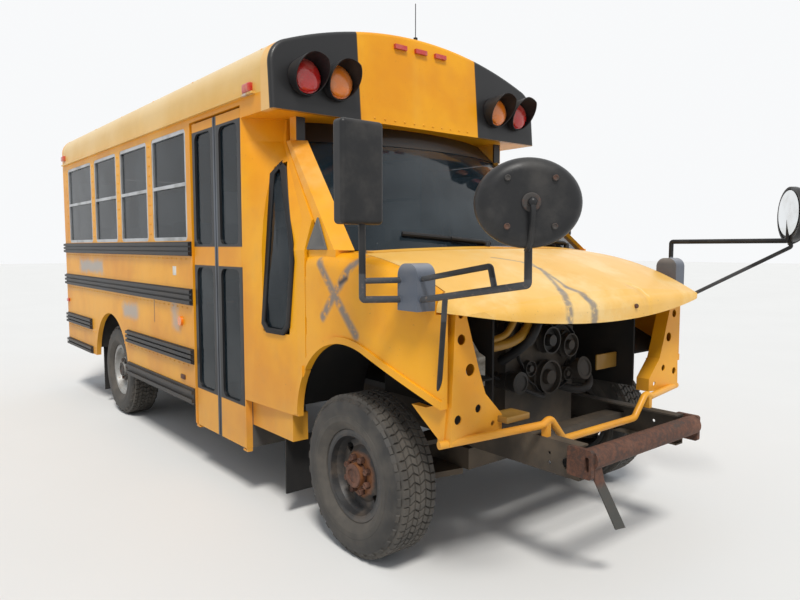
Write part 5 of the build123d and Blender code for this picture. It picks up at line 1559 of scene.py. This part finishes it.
# %% [markdown]
# A curved strut climbs from the arm to the clamp in the middle of each oval mirror's back, where
# a ball lets the mirror be aimed.

# %% Mirror struts
for name, side, hub in oval_mirrors:
    out = back_of_mirror(side)
    centre = spot_at(*hub)
    clamp = surface("mirrors_" + name, centre + out * 0.3, -out)[0] + out * 0.018
    low = centre + Vector((0, 0, -0.150))
    route = [
        low + out * 0.004,
        low + out * 0.052 + Vector((0, 0, 0.012)),
        low + out * 0.078 + Vector((0, 0, 0.060)),
        clamp + out * 0.022 + Vector((0, 0, -0.030)),
        clamp,
    ]
    strut = bent_bar(route, 0.0095)
    clear()
    ball_at = clamp + out * 0.004
    bpy.ops.mesh.primitive_uv_sphere_add(segments=20, ring_count=12, radius=0.015, location=ball_at)
    ball = bpy.context.object
    pick(ball, lambda c, n: n.z > 0.97)
    bpy.ops.mesh.inset(thickness=0.002)
    join([strut, ball])
    settle(strut, "mirror_strut_" + name, mirror_arm, "bus", 40)
print("struts", len(oval_mirrors))

# %% [markdown]
# Handles, latches and the blank sticker are small, but they are what the eye looks for on a
# door. Each is a bevelled plate on the panel it belongs to, and moves with that panel.

# %% Handles, latches and the blank sticker


def plate_on(centre, size, name, finish, body, edge=0.003, inset=0.0, drop=0.0):
    """A small bevelled box, with its widest outer face pressed in if asked."""
    plate = box(size, spot_at(*centre))
    thin = size.index(min(size))
    outwards = 1 if (centre[thin] > 0 or thin == 1) else -1
    if inset:
        pick(plate, lambda c, n: n[thin] * outwards > 0.9)
        steps([(inset, drop)], way=[outwards * (axis == thin) for axis in range(3)])
    modify(plate, "BEVEL", width=edge, segments=2)
    settle(plate, name, finish, body, 40)


sticker = Finish("blank_sticker", 0.45)
faded = sticker.smooth(sticker.noise(20, 4), 0.4, 0.7)
blank_paper = sticker.done(sticker.mix(faded, (0.72, 0.70, 0.64), (0.55, 0.50, 0.40)))
spot = surface("driver_door", (1.4, aft(1.28), 1.16), (-1, 0, 0))[0]
plate_on((spot.x + 0.004, 1.28, 1.16), (0.012, 0.150, 0.046), "driver_door_handle", mirror_black,
         "driver_door", inset=0.008, drop=-0.003)
spot = surface("rear_door", (0.34, aft(5.4), 1.30), (0, -1, 0))[0]
plate_on((0.34, spot.y - axle_y + 0.006, 1.30), (0.055, 0.014, 0.110), "rear_door_handle_plate", aluminium,
         "rear_door", inset=0.010, drop=-0.003)
spot = surface("body_side_right", (-1.4, aft(2.0), 1.302), (1, 0, 0))[0]
plate_on((spot.x - 0.0005, 2.0, 1.302), (0.0022, 0.062, 0.062), "blank_sticker", blank_paper,
         "bus", edge=0.0006)
spot = surface("body_side_right", (-1.4, aft(1.885), 0.583), (1, 0, 0))[0]
plate_on((spot.x - 0.003, 1.885, 0.583), (0.010, 0.070, 0.032), "skirt_latch", rusty_steel,
         "bus", inset=0.006, drop=0.002)
print("plates 4, the latch at x", round(spot.x, 3))

# %% [markdown]
# One rusty bolt is left in the front lip of the hood, and a washer nozzle stands on the cowl. The
# bolt rides on the hood. The nozzle stays on the bus, clear of the hood's swing.

# %% Hood bolt and washer nozzle
spot, normal = surface("hood", (0.153, aft(-1.2), 1.182), (0, 1, 0))
hood_bolt = screw(0.011, 0.010)
hood_bolt.matrix_world = facing(spot + normal * 0.004, normal)
settle(hood_bolt, "hood_bolt", rusty_steel, "hood", 30)

spot, normal = surface("cowl", (-0.750, aft(0.075), 1.7), (0, 0, -1))
nozzle = screw(0.012, 0.020)
nozzle.matrix_world = facing(spot + normal * 0.008, normal)
stem_moves = ((0, 0, 0.012), (0.003, 0.002, 0.026), (-0.004, 0.004, 0.036))
stem = bent_bar([spot + Vector(move) for move in stem_moves], 0.004)
join([nozzle, stem])
settle(nozzle, "washer_nozzle", aluminium, "bus", 40)
print("hood bolt and nozzle made")

# %% [markdown]
# Inside the open bay some yellow pieces of the inner fender show: a pair of curved braces under
# the hood on the entrance side with a tray below, and a small bracket on the other side.

# %% Inner fender braces
# Their yellow is darkened as painted shade for the shadow inside the bay.
bay_shade_paint, colour = aged_yellow("bay_yellow_painted_shade", base=(0.36, 0.19, 0.016), worn=(0.24, 0.12, 0.010))
bay_yellow_painted_shade = bay_shade_paint.done(colour)
brace_y = -0.44
upper_route = [(-0.552, 1.035), (-0.44, 1.040), (-0.365, 1.070), (-0.325, 1.14)]
lower_route = [(-0.552, 1.005), (-0.40, 1.006), (-0.30, 1.032), (-0.235, 1.075), (-0.19, 1.15)]
upper = bent_bar([spot_at(x, brace_y, z) for x, z in upper_route], 0.016)
lower = bent_bar([spot_at(x, brace_y, z) for x, z in lower_route], 0.024)
join([lower, upper])
settle(lower, "inner_brace", bay_yellow_painted_shade, "bus", 50)
plate_on((0.455, -0.420, 0.838), (0.190, 0.012, 0.085), "inner_bracket", bay_yellow_painted_shade,
         "bus", edge=0.005, inset=0.020, drop=-0.004)
plate_on((-0.546, -0.600, 0.728), (0.150, 0.110, 0.030), "inner_tray", bay_yellow_painted_shade,
         "bus", edge=0.006, inset=0.018, drop=-0.004)
print("braces 2, bracket and tray made")
